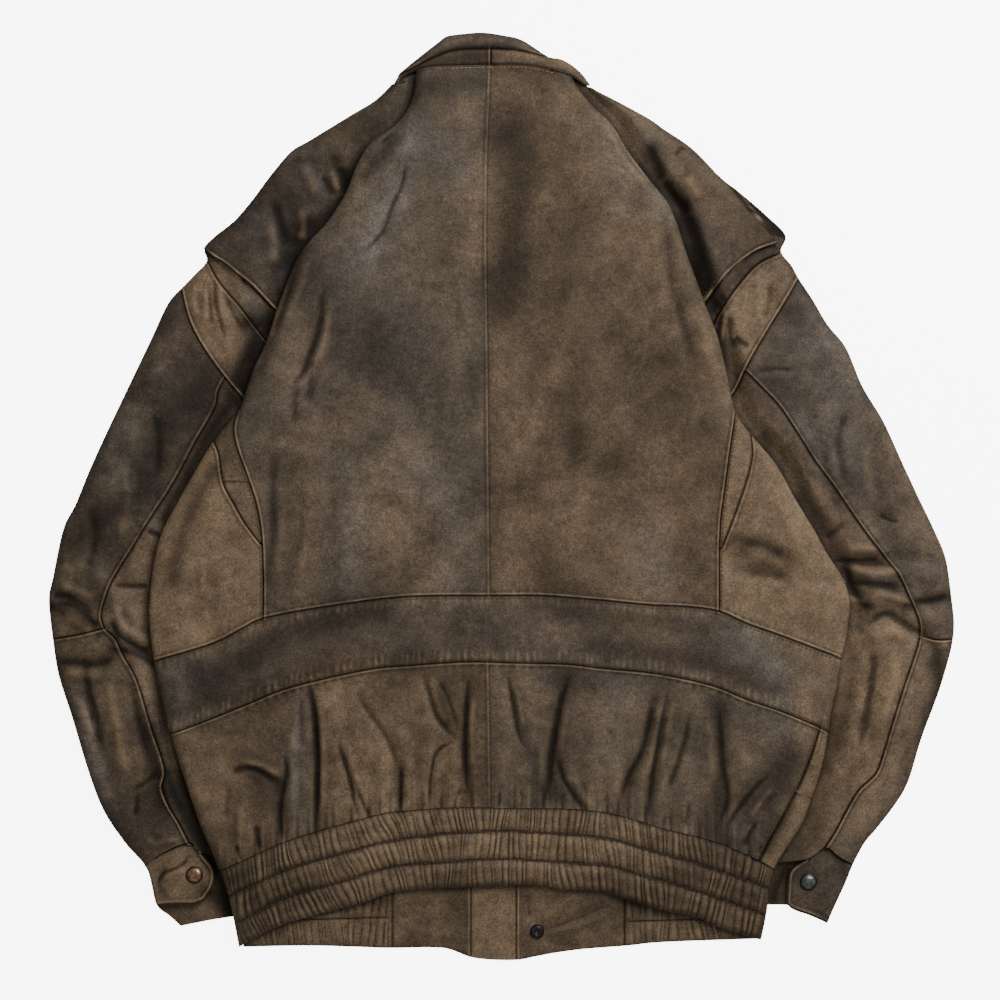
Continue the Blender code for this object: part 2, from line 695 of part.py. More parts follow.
def gusset(side, colour):
    edge = dense(BODY_EDGE[side])
    seam = dense(GUSSET_SEAM[side])
    upper = princess_rails(side)[0]
    high = rail((between(edge, seam[0], upper[0]), even(2)))
    low = rail((straight(seam[-1], upper[-1]), even(2)))
    xy = patch(low, high, rail((seam, GUSSET_ROWS))[::-1], rail((upper, GUSSET_ROWS))[::-1])
    shell("gusset_" + side, xy, body_height, colour)


def waist_band(colour):
    top = dense(BAND_TOP)
    bottom = dense(BAND_BOTTOM)
    left = between(dense(BODY_EDGE["left"]), bottom[0], top[0])
    right = between(dense(BODY_EDGE["right"]), bottom[-1], top[-1])
    across = rounded_both(30, 0.006)
    up = even(3)
    xy = patch(rail((bottom, across)), rail((top, across)), rail((left, up)), rail((right, up)))
    shell("waist_band", xy, body_height, colour)


def gathered_panel(name, low, high, start, end, colour, across):
    up = np.array((0, 0.12, 0.3, 0.55, 1.0))
    xy = patch(rail((low, across)), rail((high, across)), rail((start, up)), rail((end, up)))
    outer = with_height(xy, gathered_height(xy))
    wall(name, outer, inside_of(body_height, xy), colour, (2, 5), rim=False)


def lower_back(colour_left, colour_right, strip_colour):
    band = shifted(dense(BAND_BOTTOM), -CURVED_SEAM_GAP)
    hem = shifted(dense(HEM_TOP), CURVED_SEAM_GAP)
    centre = dense(LOWER_CENTRE_SEAM)[::-1]
    left = between(dense(BODY_EDGE["left"]), hem[0], band[0])
    right = dense(SIDE_SEAM_RIGHT)[::-1]
    gathered_panel(
        "lower_back_left", between(hem, hem[0], centre[0]), between(band, band[0], centre[-1]), left, centre,
        colour_left, rounded_start(50, 0.008),
    )
    gathered_panel(
        "lower_back_right", between(hem, centre[0], right[0]), between(band, centre[-1], right[-1]), centre,
        right, colour_right, even(50),
    )
    outer = between(dense(BODY_EDGE["right"]), hem[-1], band[-1])
    across = rounded_end(5, 0.06)
    up = np.array((0, 0.12, 0.3, 0.55, 0.8, 1.0))
    xy = patch(
        rail((between(hem, right[0], hem[-1]), across)), rail((between(band, right[-1], band[-1]), across)),
        rail((right, up)), rail((outer, up)),
    )
    shell("side_strip_right", xy, body_height, strip_colour)


def hem_back(colour):
    """The elastic casing: three channels, each crowned, with gathers across all of them."""
    top = dense(HEM_TOP)
    bottom = dense(HEM_BOTTOM)
    left = between(dense(BODY_EDGE["left"]), bottom[0], top[0])
    right = between(dense(BODY_EDGE["right"]), bottom[-1], top[-1])
    columns = even(2 * HEM_GATHERS)
    rows = even(6)
    xy = patch(rail((bottom, columns)), rail((top, columns)), rail((left, rows)), rail((right, rows)))
    crowned = (np.arange(len(rows)) % 2)[:, None]
    gathered = (np.arange(len(columns)) % 2)[None, :]
    ends = ease(np.minimum(columns, 1 - columns) / HEM_GATHER_FADE)[None, :]
    raised = HEM_CHANNEL_HEIGHT * crowned + HEM_GATHER_HEIGHT * gathered
    outer = with_height(xy, hem_height(xy) + raised * ends)
    wall("hem_back", outer, inside_of(hem_height, xy), colour, (3, 8), rim=False)


def front_hem_stretch(name, low, start_x, end_x, columns, gathered, colour):
    """One stretch of the front hem, which lies on the floor with its inside up."""
    high = straight((start_x, FRONT_HEM_TOP_Y), (end_x, FRONT_HEM_TOP_Y))
    start = straight(low[0], (start_x, FRONT_HEM_BEND_Y), high[0])
    end = straight(low[-1], (end_x, FRONT_HEM_BEND_Y), high[-1])
    rows = np.array((0, 0.35, 0.6, 1.0))
    across = even(columns)
    xy = patch(rail((low, across)), rail((high, across)), rail((start, rows)), rail((end, rows)))
    height = np.full(xy.shape[:-1], FRONT_HEM_WALL)
    if gathered:
        height += FRONT_GATHER_HEIGHT * np.outer((0.7, 1, 1, 0), np.arange(columns + 1) % 2)
    steps = (3, 5) if gathered else (1, 1)
    wall(name, with_height(xy, height), with_height(xy, 0.0), colour, steps, rim=not gathered)


def front_hem(colour, snap_colour):
    bottom = dense(FRONT_HEM_BOTTOM, 1.0)
    stops = sorted((*ELASTIC_END.values(), *PLACKET_EDGE.values()))
    tab, strip, strip_end, tab_end = (nearest(bottom, (x, FRONT_HEM_LOW_Y)) for x in stops)
    left, right = bottom[0], bottom[-1]
    gathers = 2 * FRONT_GATHERS
    inset = FRONT_HEM_INSET
    for name, start, end, start_x, end_x, columns, gathered in (
        ("front_hem_left", left, tab, left[0] + inset, tab[0], gathers, True),
        ("front_tab_left", tab, strip, tab[0], strip[0], 6, False),
        ("front_tab_right", strip_end, tab_end, strip_end[0], tab_end[0], 8, False),
        ("front_hem_right", tab_end, right, tab_end[0], right[0] - inset, gathers, True),
    ):
        front_hem_stretch(name, between(bottom, start, end), start_x, end_x, columns, gathered, colour)
    profile = [
        (0, 0), (HEM_SNAP_RADIUS, 0), (HEM_SNAP_RADIUS, 1.2), (4.6, HEM_SNAP_HEIGHT), (2.2, HEM_SNAP_HEIGHT),
        (HEM_SNAP_HOLE, 0.9), (0, 0.9),
    ]
    metal = plain_finish("hem_snap", snap_colour, *METAL)
    turned("hem_snap", HEM_SNAP_AT, FRONT_HEM_WALL + LAYER_GAP, profile, metal)


def placket(colour):
    bottom = dense(FRONT_HEM_BOTTOM, 1.0)
    left = nearest(bottom, (PLACKET_EDGE["left"], FRONT_HEM_LOW_Y))
    right = nearest(bottom, (PLACKET_EDGE["right"], FRONT_HEM_LOW_Y))
    low = rail((between(bottom, left, right), even(3)))
    high = rail((straight((left[0], FRONT_TOP_Y), (right[0], FRONT_TOP_Y)), even(3)))
    up = even(4)
    xy = patch(low, high, rail((straight(low[0], high[0]), up)), rail((straight(low[-1], high[-1]), up)))
    floor_sheet("placket", xy, colour, top=FRONT_HEM_WALL)


def front(side, colour):
    """The front on the floor, from the collar to the hem, finished plainly because it is hidden."""
    edge = dense(BODY_EDGE[side])
    outer = between(edge, at_height(edge, FRONT_TOP_Y), at_height(edge, FRONT_HEM_TOP_Y))
    outer[0, 1] = FRONT_TOP_Y
    outer[-1, 1] = FRONT_HEM_TOP_Y
    bottom = dense(FRONT_HEM_BOTTOM, 1.0)
    inner_x = nearest(bottom, (PLACKET_EDGE[side], FRONT_HEM_LOW_Y))[0]
    low = straight(outer[-1], (inner_x, FRONT_HEM_TOP_Y))
    high = straight(outer[0], (inner_x, FRONT_TOP_Y))
    across = np.array((0, 0.07, 0.14, 0.21, 0.28, 0.4, 0.7, 1.0))
    up = even(14)
    xy = patch(
        rail((low, across)), rail((high, across)), rail((outer[::-1], up)),
        rail((straight(low[-1], high[-1]), up)),
    )
    top = front_height(xy)
    wall("front_" + side, with_height(xy, top), with_height(xy, np.maximum(top - WALL, 0)), colour)


def tucked_line(side):
    """The line under the body where the arm's pieces end."""
    return shifted(dense(BODY_EDGE[side]), INWARD[side] * TUCK)


def outline_between(side, start, end):
    return between(dense(SILHOUETTE[side]), start, end)


def tuck_between(side, start, end):
    """The tucked line between two seams' ends, closed onto both."""
    found = between(tucked_line(side), start, end)
    return np.vstack((start, found[1:-1], end))


def arm_piece(name, side, low, high, start, end, colour, field=arm_height):
    shell(name, patch(low, high, start, end), lambda points: field(points, side), colour)


def shoulder_cap(side, colour):
    silhouette = dense(SILHOUETTE[side]) if side == "left" else dense(CAP_OUTER_RIGHT)
    edge = shifted(dense(CAP_EDGE[side]), INWARD[side] * CURVED_SEAM_GAP)
    neck = dense(NECK)
    outer_top = neck[0] if side == "left" else neck[-1]
    inner_top = at_height(tucked_line(side), CAP_TOP_Y)
    high = np.vstack((outer_top, between(silhouette, silhouette[0], edge[0])))
    along = even(14)
    down = rounded_end(8, 0.04)
    arm_piece(
        "shoulder_cap_" + side, side,
        rail((tuck_between(side, inner_top, edge[-1]), along)), rail((high, along)),
        rail((straight(inner_top, outer_top), down)), rail((edge[::-1], down)), colour, cap_height,
    )


def armhole_rail(side):
    """The armhole, sampled as the outer and the inner sleeve meet it."""
    armhole = dense(ARMHOLE[side])
    seam_top = nearest(armhole, SLEEVE_SEAM[side][0])
    outer = rail((between(armhole, armhole[0], seam_top), OUTER_COLUMNS))
    inner = rail((between(armhole, seam_top, armhole[-1]), INNER_COLUMNS))
    return outer, inner


def sleeve_top(side, head_colour, band_colour):
    head_top = dense(HEAD_TOP[side])
    head_seam = dense(HEAD_SEAM[side])
    outer, inner = armhole_rail(side)
    armhole = np.vstack((outer, inner[1:]))
    across = run_of(armhole)
    seam = rail((head_seam, across))
    arm_piece(
        "sleeve_head_" + side, side, seam, rail((head_top, across)),
        rail((straight(head_seam[0], head_top[0]), even(2))),
        rail((straight(head_seam[-1], head_top[-1]), even(2))),
        head_colour,
    )
    arm_piece(
        "sleeve_band_" + side, side, armhole, seam,
        rail((outline_between(side, armhole[0], seam[0]), even(4))),
        rail((tuck_between(side, armhole[-1], seam[-1]), even(4))), band_colour,
    )


def sleeve(side, outer_colour, inner_colour):
    outer_armhole, inner_armhole = armhole_rail(side)
    seam = dense(SLEEVE_SEAM[side])
    seam[0] = inner_armhole[0]
    crossing = nearest(seam, ELBOW_ON_SLEEVE_SEAM[side])
    elbow = rail((dense(ELBOW[side]), OUTER_COLUMNS))
    elbow[-1] = crossing
    cuff = dense(CUFF_SEAM[side])
    corner = nearest(cuff, seam[-1])
    seam[-1] = corner
    upper = rail((between(seam, crossing, seam[0]), OUTER_SLEEVE_ROWS))
    lower = rail((between(seam, corner, crossing), FOREARM_ROWS))
    arm_piece(
        "sleeve_outer_" + side, side, elbow, outer_armhole,
        rail((outline_between(side, elbow[0], outer_armhole[0]), OUTER_SLEEVE_ROWS)), upper, outer_colour,
    )
    arm_piece(
        "forearm_outer_" + side, side, rail((between(cuff, cuff[0], corner), OUTER_COLUMNS)), elbow,
        rail((outline_between(side, cuff[0], elbow[0]), FOREARM_ROWS)), lower, outer_colour,
    )
    whole = np.vstack((lower, upper[1:]))
    tucked = rail((tuck_between(side, cuff[-1], inner_armhole[-1]), even(len(whole) - 1)))
    arm_piece(
        "sleeve_inner_" + side, side, rail((between(cuff, corner, cuff[-1]), INNER_COLUMNS)), inner_armhole,
        whole, tucked, inner_colour,
    )


def under_arm(side, yoke_colour, sleeve_colour):
    """The front of the shoulder and of the sleeve, flat on the floor."""
    silhouette = dense(SILHOUETTE[side])
    armhole = straight(*(ARMHOLE[side][end] for end in (0, -1)))
    cuff = straight(*(CUFF_SEAM[side][end] for end in (0, -1)))
    inner_top = at_height(tucked_line(side), YOKE_TOP_Y)
    across = even(2)
    for name, low, high, count, colour in (
        ("front_yoke_", armhole, straight(silhouette[0], inner_top), 12, yoke_colour),
        ("under_sleeve_", cuff, armhole, 20, sleeve_colour),
    ):
        rows = even(count)
        xy = patch(
            rail((low, across)), rail((high, across)), rail((outline_between(side, low[0], high[0]), rows)),
            rail((tuck_between(side, low[-1], high[-1]), rows)),
        )
        floor_sheet(name + side, xy, colour)


def cuff(side, colour, under_colour, metal, metal_name):
    seam = dense(CUFF_SEAM[side])
    tip = dense(CUFF_TIP[side])
    bottom = dense(CUFF_BOTTOM[side])
    top = between(seam, seam[0], tip[0]) - (0, CUFF_SEAM_GAP)
    across = rounded_start(7, 0.05)
    up = even(4)
    tip[0] = top[-1]
    arm_piece(
        "cuff_" + side, side, rail((bottom, across)), rail((top, across)),
        rail((outline_between(side, bottom[0], top[0]), up)), rail((tip[::-1], up)), colour, cuff_height,
    )
    under = dense(CUFF_UNDER_BOTTOM[side])
    flat_seam = straight(seam[0], seam[-1])
    outer = np.vstack((under[:1], outline_between(side, under[0], seam[0])[1:]))
    xy = patch(
        rail((under, even(5))), rail((flat_seam, even(5))), rail((outer, up)),
        rail((straight(under[-1], seam[-1]), up)),
    )
    floor_sheet("cuff_under_" + side, xy, under_colour)
    at = CUFF_SNAP_AT[side]
    seat = float(cuff_height(np.array([[at]]), side).max()) + LAYER_GAP
    profile = [
        (0, 0), (SNAP_RADIUS, 0), (SNAP_RADIUS, 0.9), (6.4, 1.7), (5.0, 2.4), (2.6, SNAP_HEIGHT - 0.1),
        (0, SNAP_HEIGHT),
    ]
    turned("cuff_snap_" + side, at, seat, profile, plain_finish(metal_name, metal, *METAL))


def collar(stand_colours, fall_colour, under_colour):
    neck = shifted(dense(NECK, 1.0), CURVED_SEAM_GAP)
    seam = dense(COLLAR_SEAM, 1.0)
    top = dense(COLLAR_TOP, 1.0)
    right_top = dense(STAND_RIGHT_TOP, 1.0)
    centre = straight(nearest(neck, (-8, 370)), nearest(seam, (-8, 384)))
    up = even(2)
    split = rail((centre, up))
    left_end = rail((straight(neck[0], seam[0]), up))
    right_end = rail((straight(neck[-1], right_top[-1]), up))
    left = rail((between(neck, neck[0], centre[0]), even(8)))
    right = rail((between(neck, centre[0], neck[-1]), even(10)))
    seam_left = rail((between(seam, seam[0], centre[1]), even(8)))
    seam_right = rail((between(right_top, right_top[0], nearest(right_top, seam[-1])), even(5)))
    free_right = rail((between(right_top, nearest(right_top, seam[-1]), right_top[-1]), even(5)))
    stand_top = np.vstack((seam_right, free_right[1:]))
    stand_top[0] = centre[1]
    shell("collar_stand_left", patch(left, seam_left, left_end, split), collar_height, stand_colours[0])
    shell("collar_stand_right", patch(right, stand_top, split, right_end), collar_height, stand_colours[1])
    seam_right = rail((between(seam, centre[1], seam[-1]), even(5)))
    across = np.vstack((seam_left, seam_right[1:]))
    curled = rounded_end(5, 0.07)
    xy = patch(
        across, rail((top, run_of(across))), rail((straight(seam[0], top[0]), curled)),
        rail((straight(seam[-1], top[-1]), curled)),
    )
    shell("collar_fall", xy, collar_height, fall_colour)
    low = dense(COLLAR_UNDER, 1.0)
    edge = dense(COLLAR_TOP[1:] + STAND_RIGHT_TOP[3:5], 1.0)
    xy = patch(
        rail((low, even(12))), rail((edge, even(12))), rail((straight(low[0], edge[0]), up)),
        rail((straight(low[-1], edge[-1]), up)),
    )
    floor_sheet("collar_front", xy, under_colour)


def cap_tab(colour):
    """The small end of a tab that stands out at the tip of the right cap."""
    a, b, c, d = CAP_TAB
    sides = straight(d, c), straight(a, b), straight(d, a), straight(c, b)
    xy = patch(*(rail((side, even(1))) for side in sides))
    floor_sheet("cap_tab_right", xy, colour, top=4.4, bottom=2.4)


def main():
    for old in list(bpy.data.objects):
        bpy.data.objects.remove(old)
    back("left", GREY_BROWN)
    back("right", BROWN)
    side_back("left", TAN)
    side_back("right", TAN)
    gusset("left", BROWN)
    gusset("right", TAN)
    waist_band(GREY_BROWN)
    lower_back(BROWN, GREY_BROWN, TAN)
    hem_back(BROWN)
    front_hem(BROWN, DARK)
    placket(TAN)
    for side in ("left", "right"):
        front(side, BROWN)
        shoulder_cap(side, DARK if side == "left" else BROWN)
        sleeve_top(side, BROWN, TAN)
        sleeve(side, DARK if side == "left" else GREY_BROWN, BROWN)
        under_arm(side, BROWN, BROWN)
    cuff("left", TAN, BROWN, COPPER, "copper_snap")
    cuff("right", DARK, BROWN, PATINA, "patina_snap")
    cap_tab(DARK)
    collar((BROWN, TAN), GREY_BROWN, BROWN)


main()
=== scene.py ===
"""The fine leather, seams, snaps, floor, light and camera of a worn leather blouson laid face down.

Plan sizes in the lists below are millimetres. They are turned to metres where a mesh is made.
Marks that were read off the picture are given in its pixels, and plan() turns them to millimetres.
"""

import bmesh
import bpy
import mathutils
import numpy as np
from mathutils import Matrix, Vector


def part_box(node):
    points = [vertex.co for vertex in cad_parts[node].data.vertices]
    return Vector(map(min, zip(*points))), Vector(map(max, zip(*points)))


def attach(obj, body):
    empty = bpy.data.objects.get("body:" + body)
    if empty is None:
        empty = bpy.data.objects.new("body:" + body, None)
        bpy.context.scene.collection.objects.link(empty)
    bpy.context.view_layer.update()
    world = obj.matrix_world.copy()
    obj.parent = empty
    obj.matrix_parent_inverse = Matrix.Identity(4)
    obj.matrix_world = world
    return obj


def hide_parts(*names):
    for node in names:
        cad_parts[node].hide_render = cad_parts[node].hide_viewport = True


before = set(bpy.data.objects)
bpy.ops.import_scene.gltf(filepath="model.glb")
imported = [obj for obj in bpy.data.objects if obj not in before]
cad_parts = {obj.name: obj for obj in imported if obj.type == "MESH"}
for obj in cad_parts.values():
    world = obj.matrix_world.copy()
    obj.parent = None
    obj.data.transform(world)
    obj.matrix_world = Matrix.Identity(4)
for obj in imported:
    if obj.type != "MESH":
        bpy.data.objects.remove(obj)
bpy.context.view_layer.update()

bl_info = {
    "name": "Worn leather blouson",
    "version": (1, 0, 0),
    "blender": (4, 5, 0),
    "location": "View3D > Sidebar > Blouson",
    "description": "Leather panels, gathers, welted seams, snaps and the stage they lie on",
    "category": "Add Mesh",
}

MM = 0.001
SIDES = ("left", "right")
INWARD = {"left": 1, "right": -1}

# The part's origin in plan, in millimetres.
MIDDLE = np.array((1.3, 0.25))

# The picture: millimetres to a pixel, and the pixel at the garment's origin.
PIXEL = 0.86
PICTURE_MIDDLE = np.array((500.0, 496.5))

# Heights of the layers above the floor, and how far they rise, lift and tuck in, in millimetres.
FLOOR_TOP = 2.0
FRONT_HEM_WALL = 2.8
ARM_RIM = 2.9
ARM_RISE = 8.5
ARM_RADIUS = 13.0
ARM_UNDER_BODY = 6.0
ARM_CLIMB = 0.5
ARM_CLIMB_FROM = 7.0
ARM_TUCKED = 4.4
TUCK = 16.0
FRONT_LIFT = 7.0
FRONT_FLAT_TO = 19.0
FRONT_DOWN_AT = 54.0
BODY_RIM = 9.9
BODY_RISE = 6.2
BODY_RADIUS = 9.0
BODY_SETTLE = 4.5
BODY_SETTLE_FROM = 16.0
BODY_SETTLE_TO = 80.0
HEM_RIM = 7.0
HEM_RISE = 3.4
HEM_RADIUS = 6.0
HEM_CLIMB = 0.07
CAP_LIFT = 2.5
CAP_LOW = 8.0
COLLAR_RIM = 3.3
COLLAR_RISE = 7.4
COLLAR_RADIUS = 9.0
CUFF_TOP = 7.4
OUTSIDE_SLOPE = 3.0

# Places in plan, and the pitch and reach of gathers, in millimetres.
FRONT_HEM_TOP_Y = -326.0
FRONT_HEM_BEND_Y = -366.0
FRONT_HEM_INSET = 16.0
FRONT_TOP_Y = 348.0
ELASTIC_END = {"left": -96.0, "right": 110.0}
PLACKET_EDGE = {"left": -26.0, "right": 16.0}
SIDE_BACK_CORNER = 6
PANEL_GATHER_PITCH = 20.0
PANEL_GATHER_REACH = 95.0
FRONT_HEM_LOW_Y = -392.0
CAP_TOP_Y = 357.0
UNDER_ARM_TOP_Y = 346.0
CAP_TAB_TOP = 4.4

# Mesh pitches, in millimetres, of pieces that need closer or coarser points than a panel, and counts of points.
TAB_PITCH = 1.0
FINE_PITCH = 1.2
GATHER_ROW_PITCH = 1.6
OPENING_PITCH = 2.8
UNDER_PITCH = 3.0
HIDDEN_PITCH = 5.0
FRONT_PITCH = 6.0
GUSSET_COLUMNS = 18
PLACKET_COLUMNS = 43
HEM_COLUMNS = 721
HEM_DEPTH = 68

# A sheet's cut: what its fine relief adds to its area, and the bounds that keep its sizes and area in step.
RELIEF_SHARE = 1.02
WIDTH_SPARE = 1.01
LEAST_FILL = 0.31

# Outlines in plan, each from the collar down or from left to right.
SILHOUETTE = {
    "left": [
        (-94, 354), (-107.5, 341), (-129, 328), (-165, 306), (-180, 297), (-198, 276), (-212, 257),
        (-229, 237), (-245, 224), (-255, 213), (-252, 203), (-261, 193), (-274, 179.5), (-286, 166),
        (-301, 134), (-325, 84), (-343, 46), (-355, 19), (-365.5, -7), (-376, -28), (-385, -70),
        (-388.4, -89), (-385, -123), (-380, -154), (-368.5, -190), (-354, -238), (-341, -271),
        (-322.5, -298.5), (-306, -317), (-301, -330), (-295.6, -352), (-285, -361), (-275, -370),
    ],
    "right": [
        (82, 350), (101.5, 340), (129, 325), (140, 317), (165, 300), (187, 277.5), (210, 259),
        (229, 242.5), (246, 225), (242, 211), (251, 199), (257, 188), (269, 170), (282, 148),
        (298, 128), (312, 95), (330, 65), (347, 28), (361, -2), (373.5, -28), (384, -54),
        (389, -89), (391, -108), (390, -122.6), (387, -137.5), (377.5, -169), (363, -208),
        (352, -244), (342, -262.5), (325, -285), (314, -298), (304, -316.5), (298, -331.5),
        (286, -357.5), (282, -367),
    ],
}
BODY_EDGE = {
    "left": [
        (-72, 367), (-74, 348), (-80, 331), (-92, 317), (-111, 304), (-119, 292), (-125, 280),
        (-133, 260), (-148, 236), (-162, 221), (-173, 207), (-182, 187), (-192, 159.5), (-201, 132),
        (-212, 109), (-220, 85), (-225, 73), (-246, 48), (-264, 18), (-278, -7), (-290, -30),
        (-297, -55), (-301, -89), (-301, -110), (-297, -141), (-288, -186.5), (-283, -204),
        (-271, -242), (-258, -280), (-250, -299), (-241, -321), (-233, -344), (-228, -366),
        (-224, -387),
    ],
    "right": [
        (60, 363), (69, 347), (82, 333), (96, 319), (108, 299), (120, 282.5), (132, 267), (144, 252),
        (152, 234), (159, 212), (167, 190), (177, 163), (187, 137), (195, 104), (202, 73.5),
        (215.5, 53), (236.5, 28), (254, -3), (268, -26), (282, -51), (293, -68), (300, -89),
        (298, -117), (293, -139), (289, -165), (284, -186), (282, -203), (277, -231), (267.5, -261),
        (260, -281), (250, -297), (240, -312), (235, -322), (231, -337), (229, -356), (224, -381),
    ],
}
NECK = [
    (-91, 353), (-75, 364), (-57, 368), (-36, 369), (-8, 370), (21, 369.5), (42, 365.5), (58, 361), (73, 353),
]
COLLAR_SEAM = [(-87, 362.5), (-71, 370), (-55, 377.6), (-37, 383), (-8, 384), (12.5, 383), (41, 378)]
COLLAR_TOP = [
    (-87, 364), (-75, 374), (-52, 392), (-45, 396.5), (-30, 398.6), (-14, 399.5), (3, 397), (19, 393),
    (41, 379),
]
STAND_RIGHT_TOP = [(-8, 384), (12.5, 383), (41, 378), (54, 375.5), (68.5, 366), (78, 354)]
CENTRE_SEAM = [(-8, 370), (-11.4, 255), (-10, 83), (-8.6, -85)]
LOWER_CENTRE_SEAM = [(-9.5, -142), (-8, -267)]
PRINCESS_SEAM = {
    "left": [
        (-225, 73), (-228, 57), (-224.5, 40), (-215, 13), (-209, -6), (-205.5, -24.5), (-204, -42),
        (-203, -71), (-203, -104.5),
    ],
    "right": [
        (202, 73.5), (199, 55), (195.5, 31), (192, 3), (189, -21), (188, -49.5), (188, -71), (188, -98.5),
    ],
}
GUSSET_SEAM = {
    "left": [(-246, 48), (-241, 36), (-239, 21), (-236, 8), (-228, -7), (-219, -23), (-206.5, -40)],
    "right": [(215.5, 53), (216, 37), (213, 20), (206, -2.5), (199, -22), (190.5, -44)],
}
GUSSET_CROSS_SEAM = [(-236, 13), (-227, 13.5), (-216, 13)]
STRIP_CROSS_SEAM = [(254, -253), (261, -256), (268, -260)]
BAND_TOP = [
    (-297, -141), (-247, -126), (-221, -113), (-203, -104.5), (-160, -96), (-95, -87), (-54, -85), (-8.6, -85),
    (35, -85), (87, -89), (129, -93), (160, -94.5), (188, -98.5), (212, -109), (243, -120), (293, -139),
]
BAND_BOTTOM = [
    (-283, -204), (-247, -190.5), (-217, -178.5), (-180, -164), (-115, -149), (-75, -145), (-28, -142),
    (14, -143), (56, -144), (87, -147.5), (129, -151.5), (160, -157), (187, -164), (212, -174.5),
    (243, -185), (274, -198), (282, -203),
]
SIDE_SEAM_RIGHT = [(274, -198), (265, -225.5), (253, -253), (232, -292), (222, -311.5)]
HEM_TOP = [
    (-241, -321), (-224, -313), (-187.5, -297), (-157, -287), (-110, -274), (-87, -270), (-38, -266.5),
    (0, -267), (62, -268), (101, -273), (141, -285), (185, -296), (222, -311.5), (236, -320),
]
HEM_BOTTOM = [
    (-224, -387), (-192, -370.5), (-159, -360), (-116.5, -349), (-85, -339), (-27.5, -336), (32, -334),
    (53, -338), (88, -339), (107.5, -346), (141, -356), (167, -361), (193.5, -372), (224, -381),
]
FRONT_HEM_BOTTOM = [
    (-221, -388), (-168, -387), (-126, -388), (-96, -389), (-60, -388.5), (-44, -390), (-26, -396.5),
    (-6, -399), (16, -399), (27.5, -397), (46, -393.5), (72, -390), (110, -387), (141, -384), (221, -381),
]
COLLAR_UNDER = [(-87, 359), (-72, 340), (-50, 322), (0, 314), (40, 320), (58, 336), (75, 354)]
CAP_EDGE = {
    "left": [(-255, 213), (-245, 205), (-236.5, 200), (-224.5, 190), (-212, 180), (-193, 160), (-177, 148)],
    "right": [(238, 217), (221, 211), (208, 202.5), (195, 191), (183, 176), (176, 166), (160, 150)],
}
CAP_UNDER_COLLAR = {"left": [(-75, 363.5), (-88.5, 357)], "right": [(60, 361.5), (73, 357)]}
CAP_OUTER_RIGHT = [
    (82, 350), (101.5, 340), (129, 325), (140, 317), (165, 300), (187, 277.5), (198, 265), (215, 242),
    (238, 217),
]
HEAD_TOP = {
    "left": [
        (-249.5, 206), (-239, 209), (-222, 199), (-211, 186), (-201.5, 170.5), (-193, 159.5),
        (-177.3, 147.5),
    ],
    "right": [
        (239.5, 213.5), (229, 219), (212, 211), (199, 200), (189, 184), (182.5, 174.5), (176, 165.5),
        (160.3, 149.5),
    ],
}
HEAD_SEAM = {
    "left": [(-251.5, 202), (-245, 190), (-236.5, 178), (-222, 161), (-209, 144), (-200, 133), (-185, 122)],
    "right": [(242, 209.5), (221, 199), (206, 183), (195, 168), (187, 155), (181, 142), (168, 130)],
}
ARMHOLE = {
    "left": [(-274, 179.5), (-268, 155), (-260, 137), (-248, 118), (-236, 102), (-221, 84), (-208, 70)],
    "right": [(257, 188), (244, 166), (231, 145), (218, 123), (210, 108), (201, 89), (186, 76)],
}
SLEEVE_SEAM = {
    "left": [
        (-236, 102), (-242, 90), (-244, 78), (-252, 63), (-261, 48), (-281, 11), (-299, -17),
        (-316.5, -45.5), (-330.5, -68), (-338, -86), (-342, -100), (-339, -113), (-330, -122), (-323, -137),
        (-312, -157), (-300, -196.5), (-288, -234), (-290, -250), (-284, -266), (-276, -279.5), (-267, -297),
    ],
    "right": [
        (210, 108), (225, 93), (240, 77), (252, 59), (268, 33.5), (286, 9), (303, -16), (319, -38),
        (340, -65), (352, -89), (359, -106), (360, -119), (355, -137.5), (346, -164), (337, -193),
        (329, -220), (322, -238), (307, -253), (296, -272), (288, -287), (279, -301),
    ],
}
ELBOW_ON_SLEEVE_SEAM = {"left": (-339, -113), "right": (360, -119)}
ELBOW = {
    "left": [(-385, -123), (-358, -118), (-339, -113)],
    "right": [(390, -122.6), (374, -123), (360, -119)],
}
CUFF_SEAM = {
    "left": [(-306, -317), (-290, -306), (-267, -297), (-256, -306), (-224, -318)],
    "right": [(304, -316.5), (291, -309), (279, -301), (262, -311), (220, -318)],
}
CUFF_TIP = {
    "left": [(-256, -306), (-247, -318), (-245, -326), (-247, -336), (-254, -347)],
    "right": [(262, -311), (250, -320), (247, -330), (246, -350)],
}
CUFF_BOTTOM = {
    "left": [(-295.6, -352), (-280, -350.5), (-264, -350.5), (-254, -347)],
    "right": [(282, -367), (266, -360), (252, -355), (246, -350)],
}
CUFF_UNDER_BOTTOM = {
    "left": [(-275, -370), (-250, -365), (-231, -362), (-216, -360)],
    "right": [(280, -364), (262, -357), (248, -352), (214, -352)],
}
CAP_TAB = [(229, 226), (245, 222), (241, 213), (233, 216)]
